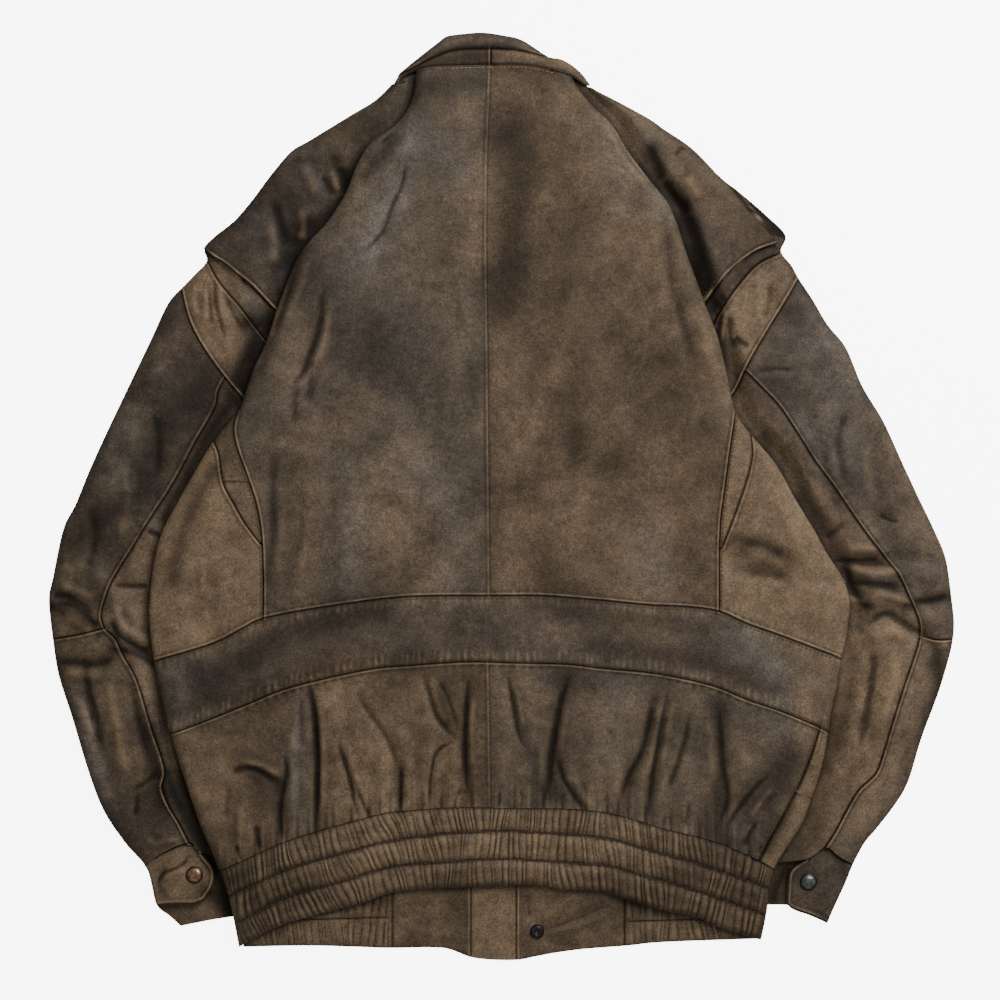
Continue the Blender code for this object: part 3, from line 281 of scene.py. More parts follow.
BODY_FOLDS = [
    ([(-133, 250), (-150, 215), (-165, 160)], 3.0, 12),
    ([(-165, 155), (-168, 128), (-178, 100), (-186, 85)], -3.0, 7),
    ([(-82, 289), (-97, 245), (-120, 208)], 2.2, 14),
    ([(-181, 45), (-190, 0), (-188, -70)], -2.6, 11),
    ([(-165, 70), (-160, 0), (-166, -70)], 1.8, 16),
    ([(-262, -5), (-275, -60), (-277, -125)], 2.4, 15),
    ([(101, 335), (116, 300), (133, 268)], 2.4, 11),
    ([(138, 282), (166, 235), (181, 180)], -2.6, 9),
    ([(165, 60), (160, 0), (172, -60)], 2.0, 13),
    ([(215, -30), (245, -60), (275, -90)], 2.6, 16),
    ([(200, -56), (240, -62), (262, -72)], -2.2, 9),
    ([(-60, 230), (-50, 120), (-70, 20)], 1.2, 30),
    ([(60, 250), (70, 120), (60, 0)], 1.2, 30),
    ([(-230, -150), (-180, -135), (-120, -122)], 1.6, 14),
    ([(120, -118), (190, -132), (250, -155)], 1.6, 14),
]
ARM_FOLDS = {
    "left": [
        ([(-246, 185), (-243, 160), (-236, 130)], 2.2, 6),
        ([(-300, 110), (-285, 60), (-292, 10)], 3.0, 14),
        ([(-330, 45), (-318, -5), (-335, -60)], -2.6, 10),
        ([(-355, -60), (-330, -90), (-320, -120)], 2.6, 9),
        ([(-388, -88), (-360, -86), (-345, -98)], -2.4, 6),
        ([(-340, -104), (-325, -116), (-300, -138)], 3.2, 7),
        ([(-345, -150), (-330, -200), (-316, -250)], 2.8, 13),
        ([(-360, -160), (-350, -205), (-335, -250)], -2.2, 8),
    ],
    "right": [
        ([(249, 190), (235, 165), (222, 140)], 2.0, 6),
        ([(290, 120), (280, 70), (290, 20)], 2.8, 14),
        ([(330, 50), (318, 0), (338, -50)], -2.6, 10),
        ([(385, -58), (340, -56), (300, -60)], -3.0, 8),
        ([(388, -68), (345, -64), (300, -78)], 3.0, 9),
        ([(350, -130), (330, -180), (310, -230)], 2.6, 12),
        ([(372, -150), (355, -200), (335, -250)], -2.2, 8),
    ],
}


# Curves in plan.


def plan(points):
    """Picture pixels as millimetres in plan."""
    points = np.array(points, float)
    return (points - PICTURE_MIDDLE) * (PIXEL, -PIXEL)


def dense(points, step=2.0):
    """A smooth curve through the points, sampled about every step."""
    knots = np.array(points, float)
    before = 2 * knots[0] - knots[1]
    after = 2 * knots[-1] - knots[-2]
    knots = np.vstack((before, knots, after))
    found = [knots[1:2]]
    for a, b, c, d in zip(knots, knots[1:], knots[2:], knots[3:]):
        count = max(2, int(np.linalg.norm(c - b) / step))
        t = np.linspace(0, 1, count + 1)[1:, None]
        found.append(
            0.5 * (2 * b + (c - a) * t + (2 * a - 5 * b + 4 * c - d) * t**2 + (3 * b - a - 3 * c + d) * t**3)
        )
    return np.vstack(found)


def nearest(curve, point):
    return curve[np.argmin(np.linalg.norm(curve - np.array(point), axis=1))]


def at_height(curve, y):
    return curve[np.argmin(abs(curve[:, 1] - y))]


def between(curve, start, end):
    """The stretch of a dense curve from the point nearest start to the one nearest end."""
    first = int(np.argmin(np.linalg.norm(curve - start, axis=1)))
    last = int(np.argmin(np.linalg.norm(curve - end, axis=1)))
    if first > last:
        return curve[last : first + 1][::-1]
    return curve[first : last + 1]


def length_of(curve):
    return float(np.linalg.norm(np.diff(curve, axis=0), axis=1).sum())


def spaced(curve, fractions):
    """Points of a curve at fractions of its length."""
    steps = np.linalg.norm(np.diff(curve, axis=0), axis=1)
    run = np.concatenate(([0], np.cumsum(steps))) / steps.sum()
    return np.column_stack([np.interp(fractions, run, curve[:, axis]) for axis in (0, 1)])


def shifted(curve, distance):
    """The curve moved sideways, to the left of its direction."""
    along = np.gradient(curve, axis=0)
    along /= np.linalg.norm(along, axis=1, keepdims=True)
    return curve + distance * np.column_stack((-along[:, 1], along[:, 0]))


def straight(*points):
    return np.array(points, float)


def joined(*curves):
    """Curves end to end, each later one without its first point."""
    return np.vstack([curves[0]] + [curve[1:] for curve in curves[1:]])


EDGE_STEPS = np.array((0, 0.35, 0.8, 1.3, 2.0, 3.0, 4.4))


def graded(length, pitch):
    """Fractions of a side: close together at both ends, for the roll of a seam, and even between."""
    reach = EDGE_STEPS[-1]
    if length < 3 * reach:
        return np.linspace(0, 1, max(4, int(round(length / pitch))) + 1)
    middle = np.linspace(reach, length - reach, max(2, int(round((length - 2 * reach) / pitch))) + 1)
    return np.concatenate((EDGE_STEPS[:-1], middle, (length - EDGE_STEPS[:-1])[::-1])) / length


def patch(low, high, start, end, pitch=None, columns=None, rows=None):
    """A grid of points between four curves: low and high run one way, start and end the other."""
    pitch = pitch or sizes().pitch / MM
    if columns is None:
        columns = graded((length_of(low) + length_of(high)) / 2, pitch)
    if rows is None:
        rows = graded((length_of(start) + length_of(end)) / 2, pitch)
    low, high = spaced(low, columns), spaced(high, columns)
    start, end = spaced(start, rows), spaced(end, rows)
    start[0], start[-1] = low[0], high[0]
    end[0], end[-1] = low[-1], high[-1]
    u = columns[None, :, None]
    v = rows[:, None, None]
    low, high = low[None], high[None]
    start, end = start[:, None], end[:, None]
    corners = (1 - u) * (1 - v) * low[:, :1] + u * (1 - v) * low[:, -1:]
    corners = corners + (1 - u) * v * high[:, :1] + u * v * high[:, -1:]
    return (1 - v) * low + v * high + (1 - u) * start + u * end - corners


def along_curve(xy, curve, reach=None):
    """Signed distance to a curve, positive on the left of its direction, and the run along it, in mm."""
    flat = xy.reshape(-1, 2)
    gap = np.full(len(flat), np.inf)
    run = np.zeros(len(flat))
    near = np.ones(len(flat), bool)
    if reach is not None:
        near = ((flat > curve.min(axis=0) - reach) & (flat < curve.max(axis=0) + reach)).all(axis=1)
    points = flat[near]
    best = np.full(len(points), np.inf)
    side = np.ones(len(points))
    walked = np.zeros(len(points))
    total = 0.0
    for a, b in zip(curve, curve[1:]):
        step = b - a
        length = float(np.hypot(*step))
        t = np.clip(((points[:, 0] - a[0]) * step[0] + (points[:, 1] - a[1]) * step[1]) / length**2, 0, 1)
        off_x = points[:, 0] - a[0] - t * step[0]
        off_y = points[:, 1] - a[1] - t * step[1]
        square = off_x * off_x + off_y * off_y
        nearer = square < best
        best[nearer] = square[nearer]
        side[nearer] = np.where(step[0] * off_y[nearer] - step[1] * off_x[nearer] < 0, -1, 1)
        walked[nearer] = total + t[nearer] * length
        total += length
    gap[near] = np.sqrt(best) * side
    run[near] = walked
    return gap.reshape(xy.shape[:-1]), run.reshape(xy.shape[:-1])


def signed_distance(xy, curve, reach=None):
    return along_curve(xy, curve, reach)[0]


# Height fields, the same as the solids'.


def ease(t):
    t = np.clip(t, 0, 1)
    return t * t * (3 - 2 * t)


def bell(distance, width):
    return np.exp(-((distance / width) ** 2))


def curl(distance, radius, rise):
    """Height gained inwards from an edge that curls over, falling steeply outside it."""
    t = np.clip(distance / radius, 0, 1)
    return rise * np.sqrt(1 - (1 - t) ** 2) + OUTSIDE_SLOPE * np.minimum(distance, 0)


def folds(xy, listed):
    height = np.zeros(xy.shape[:-1])
    for path, out, width in listed:
        gap = signed_distance(xy, dense(path, 8.0), 4 * width)
        height += out * bell(gap, width)
    return height


def body_depth(xy, side):
    """How far a point is inside the body's edge on one side."""
    return INWARD[side] * signed_distance(xy, dense(BODY_EDGE[side], 5.0))


def nearest_depth(xy):
    return np.minimum(body_depth(xy, "left"), body_depth(xy, "right"))


def arm_depth(xy, side):
    """How far a point is inside the arm's outline on one side."""
    return INWARD[side] * signed_distance(xy, dense(SILHOUETTE[side], 5.0))


def arm_height(xy, side):
    inside = arm_depth(xy, side)
    outside = -body_depth(xy, side)
    top = ARM_RIM + curl(inside, ARM_RADIUS, ARM_RISE)
    top = top + folds(xy, ARM_FOLDS[side]) * ease((inside - 2) / 14)
    near_body = ARM_TUCKED + (ARM_UNDER_BODY - ARM_TUCKED) * ease((outside + TUCK) / TUCK)
    near_body = near_body + ARM_CLIMB * np.maximum(outside - ARM_CLIMB_FROM, 0)
    return np.maximum(np.minimum(top, near_body), ARM_RIM - 0.1)


def cap_height(xy, side):
    edge = dense(CAP_EDGE[side], 6.0)
    lift = CAP_LIFT * (1 - ease((np.abs(signed_distance(xy, edge)) - 16) / 24))
    return arm_height(xy, side) + lift * ease(-body_depth(xy, side) / CAP_LOW)


def cuff_height(xy, side):
    return np.minimum(arm_height(xy, side), CUFF_TOP)


def body_height(xy):
    depth = nearest_depth(xy)
    top = BODY_RIM + curl(depth, BODY_RADIUS, BODY_RISE)
    span = BODY_SETTLE_TO - BODY_SETTLE_FROM
    top = top - BODY_SETTLE * ease((depth - BODY_SETTLE_FROM) / span)
    return top + folds(xy, BODY_FOLDS) * ease(depth / 16)


def hem_height(xy):
    above = signed_distance(xy, dense(HEM_BOTTOM, 6.0))
    climb = HEM_CLIMB * np.maximum(above - HEM_RADIUS, 0)
    return np.minimum(body_height(xy), HEM_RIM + curl(above, HEM_RADIUS, HEM_RISE) + climb)


def collar_height(xy):
    below = -signed_distance(xy, dense(COLLAR_TOP + [(54, 376), (68.5, 366), (78, 354)], 4.0))
    return COLLAR_RIM + curl(below, COLLAR_RADIUS, COLLAR_RISE)


def front_height(xy):
    """The front's face on the floor, which climbs over the arms' tucked edges at its sides."""
    lift = FRONT_LIFT * (1 - ease((nearest_depth(xy) - FRONT_FLAT_TO) / (FRONT_DOWN_AT - FRONT_FLAT_TO)))
    return FLOOR_TOP + lift


# Fine relief. Each field gives millimetres that are added to a solid's height.


ANY_PHASE = 6.28


def seeded_waves(xy, pitch, seed, count=9):
    """A soft irregular surface of about that pitch, between -1 and 1."""
    rng = np.random.RandomState(seed)
    total = np.zeros(xy.shape[:-1])
    for _ in range(count):
        angle = rng.uniform(0, 2 * np.pi)
        length = pitch * rng.uniform(0.7, 1.6)
        turn = 2 * np.pi / length
        total += np.sin(turn * (xy[..., 0] * np.cos(angle) + xy[..., 1] * np.sin(angle)) + rng.uniform(0, ANY_PHASE))
    return total / np.sqrt(count) / 1.4


CREASE_REACH = 4
CREASE_FADE = 0.28
SHARP_CREST = 1.25
ROUND_CREST = 2.0
SOFT_SHARE = 0.3
SOFT_SPREAD = 2.8
ARM_CREASE_SHARE = 1.35
LOWER_CREASE_SHARE = 1.5
SHORT_GATHER_HEIGHT = 0.36
PANEL_GATHER_HEIGHT = 0.8


def crease(xy, path, out, width, sharp=False):
    """One crease along a path, fading at both its ends. A sharp one has a narrow crest."""
    curve = dense(path, 4.0)
    gap, run = along_curve(xy, curve, CREASE_REACH * width)
    t = run / length_of(curve)
    fade = ease(np.minimum(t, 1 - t) / CREASE_FADE)
    across = np.exp(-(np.minimum(np.abs(gap) / width, 9)) ** (SHARP_CREST if sharp else ROUND_CREST))
    return out * across * fade


def creases(xy, listed):
    """Creases off the picture: a path in its pixels, how far each stands out, its half width, and True if sharp.

    Each lies in a softer, wider one.
    """
    height = np.zeros(xy.shape[:-1])
    for path, out, width, *sharp in listed:
        height += crease(xy, plan(path), out, width, bool(sharp))
        height += crease(xy, plan(path), SOFT_SHARE * out, SOFT_SPREAD * width)
    return height


def pucker(gap, run, seed, pitch=8.0, reach=5.0):
    """Short ripples that run out from a seam."""
    rng = np.random.RandomState(seed)
    drift = rng.uniform(0, ANY_PHASE, 3)
    wave = np.sin(2 * np.pi * run / pitch + 1.7 * np.sin(run / 17 + drift[0]) + drift[1])
    strength = 0.55 + 0.45 * np.sin(run / 29 + drift[2])
    return wave * strength * np.exp(-np.abs(gap) / reach)


def level(height):
    """A field of one height."""
    return lambda xy: np.full(xy.shape[:-1], height)


def new_layer(xy):
    """The fine relief of a sheet, with the masks of its paler places and its dark grooves: worn welts, and crests of
    puckers and gathers that are partly painted highlight; dark seams, and the valleys of gathers and the gap above
    the neck, where shade is painted.
    """
    return {key: np.zeros(xy.shape[:-1]) for key in ("height", "welt", "groove")}


def strengthen(layer, mask, value):
    layer[mask] = np.maximum(layer[mask], value)


SEAM_REACH = 22.0
SEAM_FAR = 99.0
SEAM_LINE = 0.6
WELT_AT = 1.3
WELT_WIDTH = 0.6
WELT_BACK = 2.1
BACK_WIDTH = 0.7
BACK_DEPTH = 0.25
BACK_DARK = 0.45
DIP_AT = 1.5
DIP_WIDTH = 1.3
DIP_SHARE = 0.3
FULL_GROOVE = 0.4
GROOVE_WIDTH = 0.95


def sew(layer, xy, curve, welt_side, welt=0.8, worn=0.8, puckers=0.3, seed=1, groove=0.7, fade=0.0):
    """Adds a seam: a raised, worn welt on one side, a dark groove on it, and puckers to both sides."""
    curve = dense(curve, 3.0)
    gap, run = along_curve(xy, curve, SEAM_REACH)
    near = np.isfinite(gap)
    gap = np.where(near, gap, SEAM_FAR)
    strength = 1.0 - fade * ease(np.abs(2 * run / length_of(curve) - 1) * 0.8)
    height = -groove * bell(gap, SEAM_LINE)
    if welt_side:
        ridge = bell(gap * welt_side - WELT_AT, WELT_WIDTH)
        height += welt * ridge - DIP_SHARE * welt * bell(gap * welt_side + DIP_AT, DIP_WIDTH)
        rubbed = 0.75 + 0.25 * np.sin(run / 5 + 2 * np.sin(run / 17 + seed))
        strengthen(layer, "welt", worn * strength * rubbed * ridge)
        behind = bell(gap * welt_side - WELT_AT - WELT_BACK, BACK_WIDTH)
        height -= BACK_DEPTH * welt * behind
        strengthen(layer, "groove", BACK_DARK * behind)
    dark = np.clip(groove / FULL_GROOVE, 0, 1) * bell(gap * (welt_side or 1) + 0.5, GROOVE_WIDTH)
    strengthen(layer, "groove", dark)
    rows = pucker(gap, run, seed) * (1 - bell(gap, 1.5))
    layer["height"] += height + puckers * rows
    # The crests of the puckers are painted paler, partly as worn leather and partly as painted highlight.
    strengthen(layer, "welt", np.clip(puckers * rows - 0.12, 0, 0.5) * near)


BODY_CREASES = [
    ([(207, 528), (204, 563), (206, 595), (212, 632)], 1.0, 1.3, True),
    ([(310, 500), (306, 545), (298, 585)], 0.8, 1.4, True),
    ([(405, 153), (404, 181), (393, 207), (383, 233), (359, 260)], -1.7, 2.1, True),
    ([(409, 114), (398, 127), (389, 137), (378, 148)], -1.7, 2.4, True),
    ([(418, 122), (407, 150), (400, 181)], 0.9, 2.6, True),
    ([(412, 133), (400, 153), (389, 175), (380, 205)], 1.2, 5),
    ([(325, 281), (323, 305), (321, 322), (316, 341), (307, 365), (299, 379), (287, 391)], -2.0, 2.2, True),
    ([(330, 300), (325, 340), (312, 372), (298, 392)], 0.9, 2.6),
    ([(311, 350), (312, 380), (309, 410)], -1.2, 5),
    ([(299, 382), (296, 405), (297, 430)], -1.0, 4),
    ([(313, 251), (307, 270), (300, 293), (290, 315), (283, 334)], 1.2, 4, True),
    ([(292, 262), (285, 300), (270, 340)], -1.2, 6),
    ([(277, 440), (273, 496), (275, 534), (269, 580)], -1.1, 5),
    ([(283, 500), (281, 530), (276, 578)], 0.8, 4),
    ([(300, 470), (304, 520), (296, 575)], -0.5, 8),
    ([(612, 118), (620, 140), (628, 158), (641, 175), (656, 188)], -1.5, 2.6, True),
    ([(606, 125), (618, 150), (632, 172), (648, 192)], 1.1, 5),
    ([(661, 200), (667, 245), (672, 288), (683, 327), (693, 365), (693, 388)], -1.2, 6),
    ([(690, 300), (702, 335), (712, 372), (718, 400)], 1.0, 6),
    ([(735, 540), (760, 545), (790, 558)], -1.3, 5),
    ([(740, 572), (765, 574), (790, 580)], -1.2, 5),
    ([(742, 556), (765, 560), (788, 568)], 1.0, 5),
    ([(762, 480), (785, 520), (806, 560)], 1.1, 6),
    ([(430, 350), (440, 420), (432, 480)], -0.7, 9),
    ([(560, 330), (575, 420), (568, 520)], -0.7, 10),
    ([(610, 360), (625, 440), (618, 530)], 0.7, 10),
    ([(345, 430), (352, 500), (346, 570)], 0.7, 10),
    ([(326, 450), (332, 500), (328, 575)], -0.6, 9),
]
LOWER_CREASES = [
    ([(311, 680), (314, 706), (317, 740), (318, 765), (317, 800), (316, 832)], -2.4, 2.2, True),
    ([(321, 700), (323, 750), (323, 800), (322, 826)], 1.2, 3.4),
    ([(301, 690), (302, 720), (304, 752)], -1.0, 3.5),
    ([(292, 720), (294, 770), (294, 815)], 1.0, 4.0),
    ([(353, 684), (366, 707), (386, 736), (401, 774)], -1.2, 4.0),
    ([(401, 764), (401, 782), (400, 812)], -1.7, 1.6, True),
    ([(392, 720), (404, 745), (410, 775)], 1.0, 5.0),
    ([(337, 735), (344, 760), (351, 784), (359, 822)], -1.6, 1.8, True),
    ([(356, 786), (362, 800), (371, 820)], -1.4, 1.6, True),
    ([(345, 740), (354, 770), (362, 792)], 0.9, 3.4),
    ([(228, 778), (240, 768), (256, 769), (272, 778), (285, 782)], -1.4, 3.0),
    ([(240, 760), (262, 765), (285, 777)], 1.2, 3.2),
    ([(284, 748), (287, 770), (284, 786), (280, 815), (283, 842)], -1.6, 2.0, True),
    ([(257, 822), (258, 836), (260, 850)], -1.6, 1.7, True),
    ([(237, 842), (240, 852), (243, 862)], -1.3, 1.6, True),
    ([(232, 780), (228, 800), (226, 822)], -0.8, 4.0),
    ([(243, 800), (241, 822), (240, 840)], 0.9, 3.4),
    ([(422, 668), (430, 694), (438, 718), (459, 742)], -1.3, 3.0),
    ([(434, 672), (448, 698), (461, 737)], -0.9, 2.2, True),
    ([(470, 668), (466, 706), (464, 750), (467, 784), (474, 806)], -1.8, 2.4, True),
    ([(474, 690), (471, 730), (472, 775)], 1.1, 2.8),
    ([(459, 740), (438, 750), (431, 774), (429, 812)], -1.4, 1.8, True),
    ([(447, 750), (440, 775), (438, 800)], 0.9, 4.0),
    ([(460, 786), (456, 800), (455, 812)], -1.0, 1.6, True),
    ([(507, 668), (512, 700), (518, 732), (529, 756)], -1.4, 2.6, True),
    ([(514, 680), (519, 704), (524, 730)], 1.0, 2.4),
    ([(573, 668), (561, 700), (555, 730), (551, 755), (549, 780), (540, 812)], -2.2, 2.6, True),
    ([(568, 700), (562, 735), (560, 765)], 1.0, 4.0),
    ([(540, 740), (541, 765), (536, 790)], 0.8, 3.6),
    ([(557, 756), (563, 778), (571, 792), (585, 812)], -1.5, 1.9, True),
    ([(572, 775), (582, 794), (592, 808)], 0.8, 2.6),
    ([(653, 690), (648, 725), (641, 752), (626, 780), (615, 816)], -1.8, 2.6, True),
    ([(664, 690), (657, 730), (650, 760), (636, 790)], 1.0, 4.0),
    ([(670, 680), (660, 725), (652, 774), (646, 826)], -1.2, 1.6, True),
    ([(676, 690), (667, 730), (660, 775)], 0.9, 3.4),
    ([(689, 706), (686, 732), (677, 764), (663, 800)], -1.4, 3.4),
    ([(717, 700), (720, 735), (722, 765), (726, 800), (712, 838)], -1.9, 2.8, True),
    ([(706, 710), (710, 750), (713, 790)], 0.9, 4.4),
    ([(772, 770), (757, 784), (744, 800), (721, 832)], -1.8, 2.2, True),
    ([(775, 782), (760, 800), (744, 822)], 1.0, 3.0),
    ([(757, 818), (750, 830), (741, 848)], -1.5, 1.8, True),
    ([(740, 740), (744, 760), (738, 784)], 0.8, 5.0),
    ([(600, 690), (596, 730), (602, 770)], 0.7, 7.0),
    ([(690, 800), (686, 815), (684, 830)], -1.0, 1.7, True),
    ([(502, 780), (500, 795), (500, 810)], -0.8, 1.6, True),
    ([(520, 786), (522, 800), (519, 812)], -0.9, 1.6, True),
]
ARM_CREASES = {
    "left": [
        ([(112, 584), (130, 586), (151, 586)], -1.6, 2.4, True),
        ([(114, 594), (118, 610), (126, 628), (136, 644)], 1.3, 2.6, True),
        ([(128, 600), (136, 615), (138, 632), (131, 640)], 1.0, 2.2, True),
        ([(147, 530), (155, 534), (163, 537)], -1.3, 2.0, True),
        ([(56, 560), (70, 568), (92, 560)], 0.7, 5.0),
        ([(52, 664), (70, 662), (98, 664), (120, 655)], -1.2, 3.5),
        ([(60, 676), (80, 674), (104, 680)], 1.0, 5.0),
        ([(131, 793), (140, 786), (154, 776), (162, 768)], -1.4, 2.0, True),
        ([(138, 790), (138, 805), (134, 818)], -0.9, 2.6),
        ([(142, 832), (155, 842), (168, 840), (184, 836)], 0.9, 2.4),
        ([(156, 889), (163, 874), (181, 866), (191, 853)], -1.3, 1.8, True),
        ([(160, 882), (172, 873), (186, 868)], 0.9, 2.0, True),
        ([(75, 690), (85, 712), (96, 740)], 1.3, 3.0),
        ([(215, 274), (216, 290), (217, 305), (222, 325), (228, 345)], -1.4, 1.7, True),
        ([(220, 282), (221, 300), (225, 322)], 1.1, 2.0, True),
        ([(206, 286), (206, 305), (205, 324)], 0.9, 2.2),
        ([(210, 284), (211, 305), (213, 330)], -0.8, 1.6, True),
        ([(223, 290), (236, 318), (249, 338)], -0.7, 2.0, True),
        ([(196, 280), (194, 300), (199, 320)], 0.8, 2.0),
        ([(48, 600), (64, 596), (86, 608), (98, 617)], -2.0, 3.0, True),
        ([(58, 588), (76, 590), (98, 603)], 1.8, 4.0),
        ([(110, 616), (120, 635), (137, 647), (155, 658)], -1.8, 3.2, True),
        ([(118, 618), (134, 634), (152, 645)], 1.6, 4.0),
        ([(60, 612), (80, 622), (100, 640)], 1.5, 4.5),
        ([(323, 176), (329, 188), (336, 196)], -1.4, 2.4, True),
        ([(343, 165), (344, 180), (341, 194)], -1.6, 2.6, True),
        ([(331, 170), (336, 184), (340, 192)], 1.3, 2.4, True),
        ([(273, 198), (278, 215), (282, 233), (290, 252)], -1.6, 4.5),
        ([(264, 219), (273, 240), (277, 272)], 1.4, 6.0),
        ([(300, 160), (310, 178), (318, 200)], 1.2, 5.0),
        ([(300, 205), (304, 225), (300, 245)], 0.9, 4.0),
        ([(150, 400), (160, 440), (158, 490)], -1.2, 5.0),
        ([(120, 450), (128, 500), (118, 550)], 1.2, 6.0),
        ([(90, 500), (96, 540), (84, 580)], -1.2, 5.0),
        ([(185, 480), (168, 530), (150, 590)], 1.3, 6.0),
        ([(205, 470), (190, 520), (172, 570)], -1.3, 5.0),
        ([(130, 670), (140, 720), (152, 770)], -1.1, 4.0),
        ([(108, 660), (118, 720), (130, 790)], 1.3, 5.0),
        ([(84, 650), (92, 700), (106, 760)], -1.2, 4.0),
        ([(165, 690), (172, 740), (178, 790)], 1.1, 5.0),
    ],
    "right": [
        ([(841, 582), (845, 570), (848, 580), (854, 592), (865, 603)], -1.8, 3.0, True),
        ([(865, 600), (878, 594), (892, 597), (916, 604)], 1.7, 2.6, True),
        ([(908, 600), (930, 601), (950, 594)], -1.7, 3.0, True),
        ([(861, 631), (872, 620), (885, 614), (900, 621), (913, 629), (934, 640)], -1.9, 2.4, True),
        ([(870, 640), (890, 630), (905, 640)], 1.2, 5.0),
        ([(934, 650), (944, 644), (950, 652), (944, 664)], 1.2, 2.4, True),
        ([(944, 690), (934, 715), (922, 740)], -1.4, 4.0),
        ([(800, 452), (806, 470), (812, 482)], -0.9, 2.4, True),
        ([(876, 512), (888, 520), (900, 522)], -0.8, 1.8, True),
        ([(822, 540), (836, 530), (846, 520)], -0.8, 3.0),
        ([(733, 336), (741, 343), (749, 348)], -1.3, 2.0, True),
        ([(725, 304), (723, 330), (722, 348)], 1.4, 2.0, True),
        ([(729, 312), (730, 335), (735, 352)], -1.3, 2.4, True),
        ([(762, 270), (757, 295), (755, 320)], 0.8, 4.0),
        ([(771, 275), (768, 300), (762, 325)], -0.7, 3.0),
        ([(752, 372), (775, 369), (797, 371)], -0.9, 2.0, True),
        ([(673, 160), (680, 149), (693, 148)], -0.8, 2.4),
        ([(683, 176), (692, 188), (700, 200)], 1.3, 5.0),
        ([(664, 178), (674, 198), (690, 214)], -1.3, 4.0),
        ([(830, 560), (858, 562), (889, 562)], -2.0, 3.0, True),
        ([(845, 570), (875, 571), (905, 570)], 1.9, 3.6),
        ([(835, 548), (865, 549), (895, 552)], 1.4, 4.0),
        ([(845, 582), (872, 584), (902, 588)], -1.2, 3.6),
        ([(840, 598), (868, 600), (895, 606)], 1.0, 4.0),
        ([(850, 400), (838, 440), (846, 490)], -1.2, 5.0),
        ([(870, 430), (866, 480), (880, 520)], 1.2, 6.0),
        ([(800, 420), (806, 470), (826, 520)], 1.2, 6.0),
        ([(822, 440), (828, 480), (842, 520)], -1.1, 5.0),
        ([(895, 640), (890, 690), (874, 740)], 1.2, 5.0),
        ([(875, 640), (868, 700), (854, 760)], -1.2, 4.0),
        ([(845, 640), (840, 700), (828, 760)], 1.1, 5.0),
    ],
}


# Relief of each layer, made of its seams, creases and small waves.


def body_layer(xy):
    layer = new_layer(xy)
    layer["height"] = creases(xy, BODY_CREASES)
    layer["height"] += 0.26 * seeded_waves(xy, 46, 21) + 0.12 * seeded_waves(xy, 19, 22)
    sew(layer, xy, CENTRE_SEAM, -1, welt=0.35, worn=0.36, seed=3, puckers=0.15, groove=0.16)
    sew(layer, xy, LOWER_CENTRE_SEAM, -1, welt=0.4, worn=0.45, seed=4, groove=0.14)
    sew(layer, xy, PRINCESS_SEAM["left"], 1, welt=1.0, worn=0.75, seed=5)
    sew(layer, xy, PRINCESS_SEAM["right"], -1, welt=1.0, worn=0.7, seed=6)
    sew(layer, xy, GUSSET_SEAM["left"], -1, worn=0.6, seed=7)
    sew(layer, xy, GUSSET_SEAM["right"], 1, worn=0.4, seed=8)
    sew(layer, xy, GUSSET_CROSS_SEAM, 1, welt=0.4, worn=0.5, seed=12)
    sew(layer, xy, BAND_TOP, 1, worn=0.7, puckers=0.5, seed=9)
    sew(layer, xy, BAND_BOTTOM, -1, worn=0.6, puckers=0.65, seed=10)
    sew(layer, xy, SIDE_SEAM_RIGHT, 1, worn=0.6, seed=11)
    sew(layer, xy, STRIP_CROSS_SEAM, 1, welt=0.4, worn=0.5, seed=13)
    layer["height"] *= ease(nearest_depth(xy) / 7)
    return layer


def arm_layer(xy, side):
    inside = arm_depth(xy, side)
    out = -INWARD[side]
    layer = new_layer(xy)
    layer["height"] = ARM_CREASE_SHARE * creases(xy, ARM_CREASES[side])
    layer["height"] += 0.3 * seeded_waves(xy, 40, 41 + out) + 0.14 * seeded_waves(xy, 15, 44 + out)
    sew(layer, xy, CAP_EDGE[side], -out, welt=1.0, worn=1.0, puckers=0.0, seed=30)
    sew(layer, xy, HEAD_SEAM[side], out, welt=0.3, worn=0.2, puckers=0.35, seed=31)
    sew(layer, xy, ARMHOLE[side], -out, welt=1.1, worn=1.0, puckers=0.3, seed=32)
    sew(layer, xy, SLEEVE_SEAM[side], out, welt=0.9, worn=0.38, seed=33, fade=0.3)
    sew(layer, xy, ELBOW[side], out, welt=0.6, worn=0.75, seed=34, puckers=0.2)
    sew(layer, xy, SLEEVE_SEAM[side][-6:], out, welt=0.4, worn=0.8, seed=36, puckers=0.1, groove=0.5)
    layer["height"] *= ease((inside - 0.5) / 6)
    return layer


def gather_folds(xy):
    """The lower panels' folds as they lie, with short gathers where the hem takes them up."""
    above = signed_distance(xy, dense(HEM_TOP, 8.0))
    near = ease(1 - above / 30)
    x = xy[..., 0]
    short = np.sin(2 * np.pi * x / 8.3 + 2.2 * np.sin(x / 23))
    short = short + 0.7 * np.sin(2 * np.pi * x / 4.9 + 1.9 * np.sin(x / 15))
    height = LOWER_CREASE_SHARE * creases(xy, LOWER_CREASES) + SHORT_GATHER_HEIGHT * near * short
    height += PANEL_GATHER_HEIGHT * ease(1 - above / PANEL_GATHER_REACH) * np.cos(2 * np.pi * x / PANEL_GATHER_PITCH)
    return height * ease(nearest_depth(xy) / 12)


def lower_layer(xy):
    """A lower panel's relief: its own gathers over the body's."""
    layer = body_layer(xy)
    layer["height"] += gather_folds(xy)
    return layer


# Making the sheets.


def place(points):
    points = np.asarray(points, float).reshape(-1, 3)
    return (points - (MIDDLE[0], MIDDLE[1], 0)) * MM


def sizes():
    return bpy.context.scene.blouson_sizes


def colours():
    return bpy.context.scene.blouson_colours


def mesh_of(maker, name):
    mesh = bpy.data.meshes.new(name)
    maker.to_mesh(mesh)
    maker.free()
    return mesh


def finish_piece(made):
    bpy.context.scene.collection.objects.link(made)
    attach(made, "root")


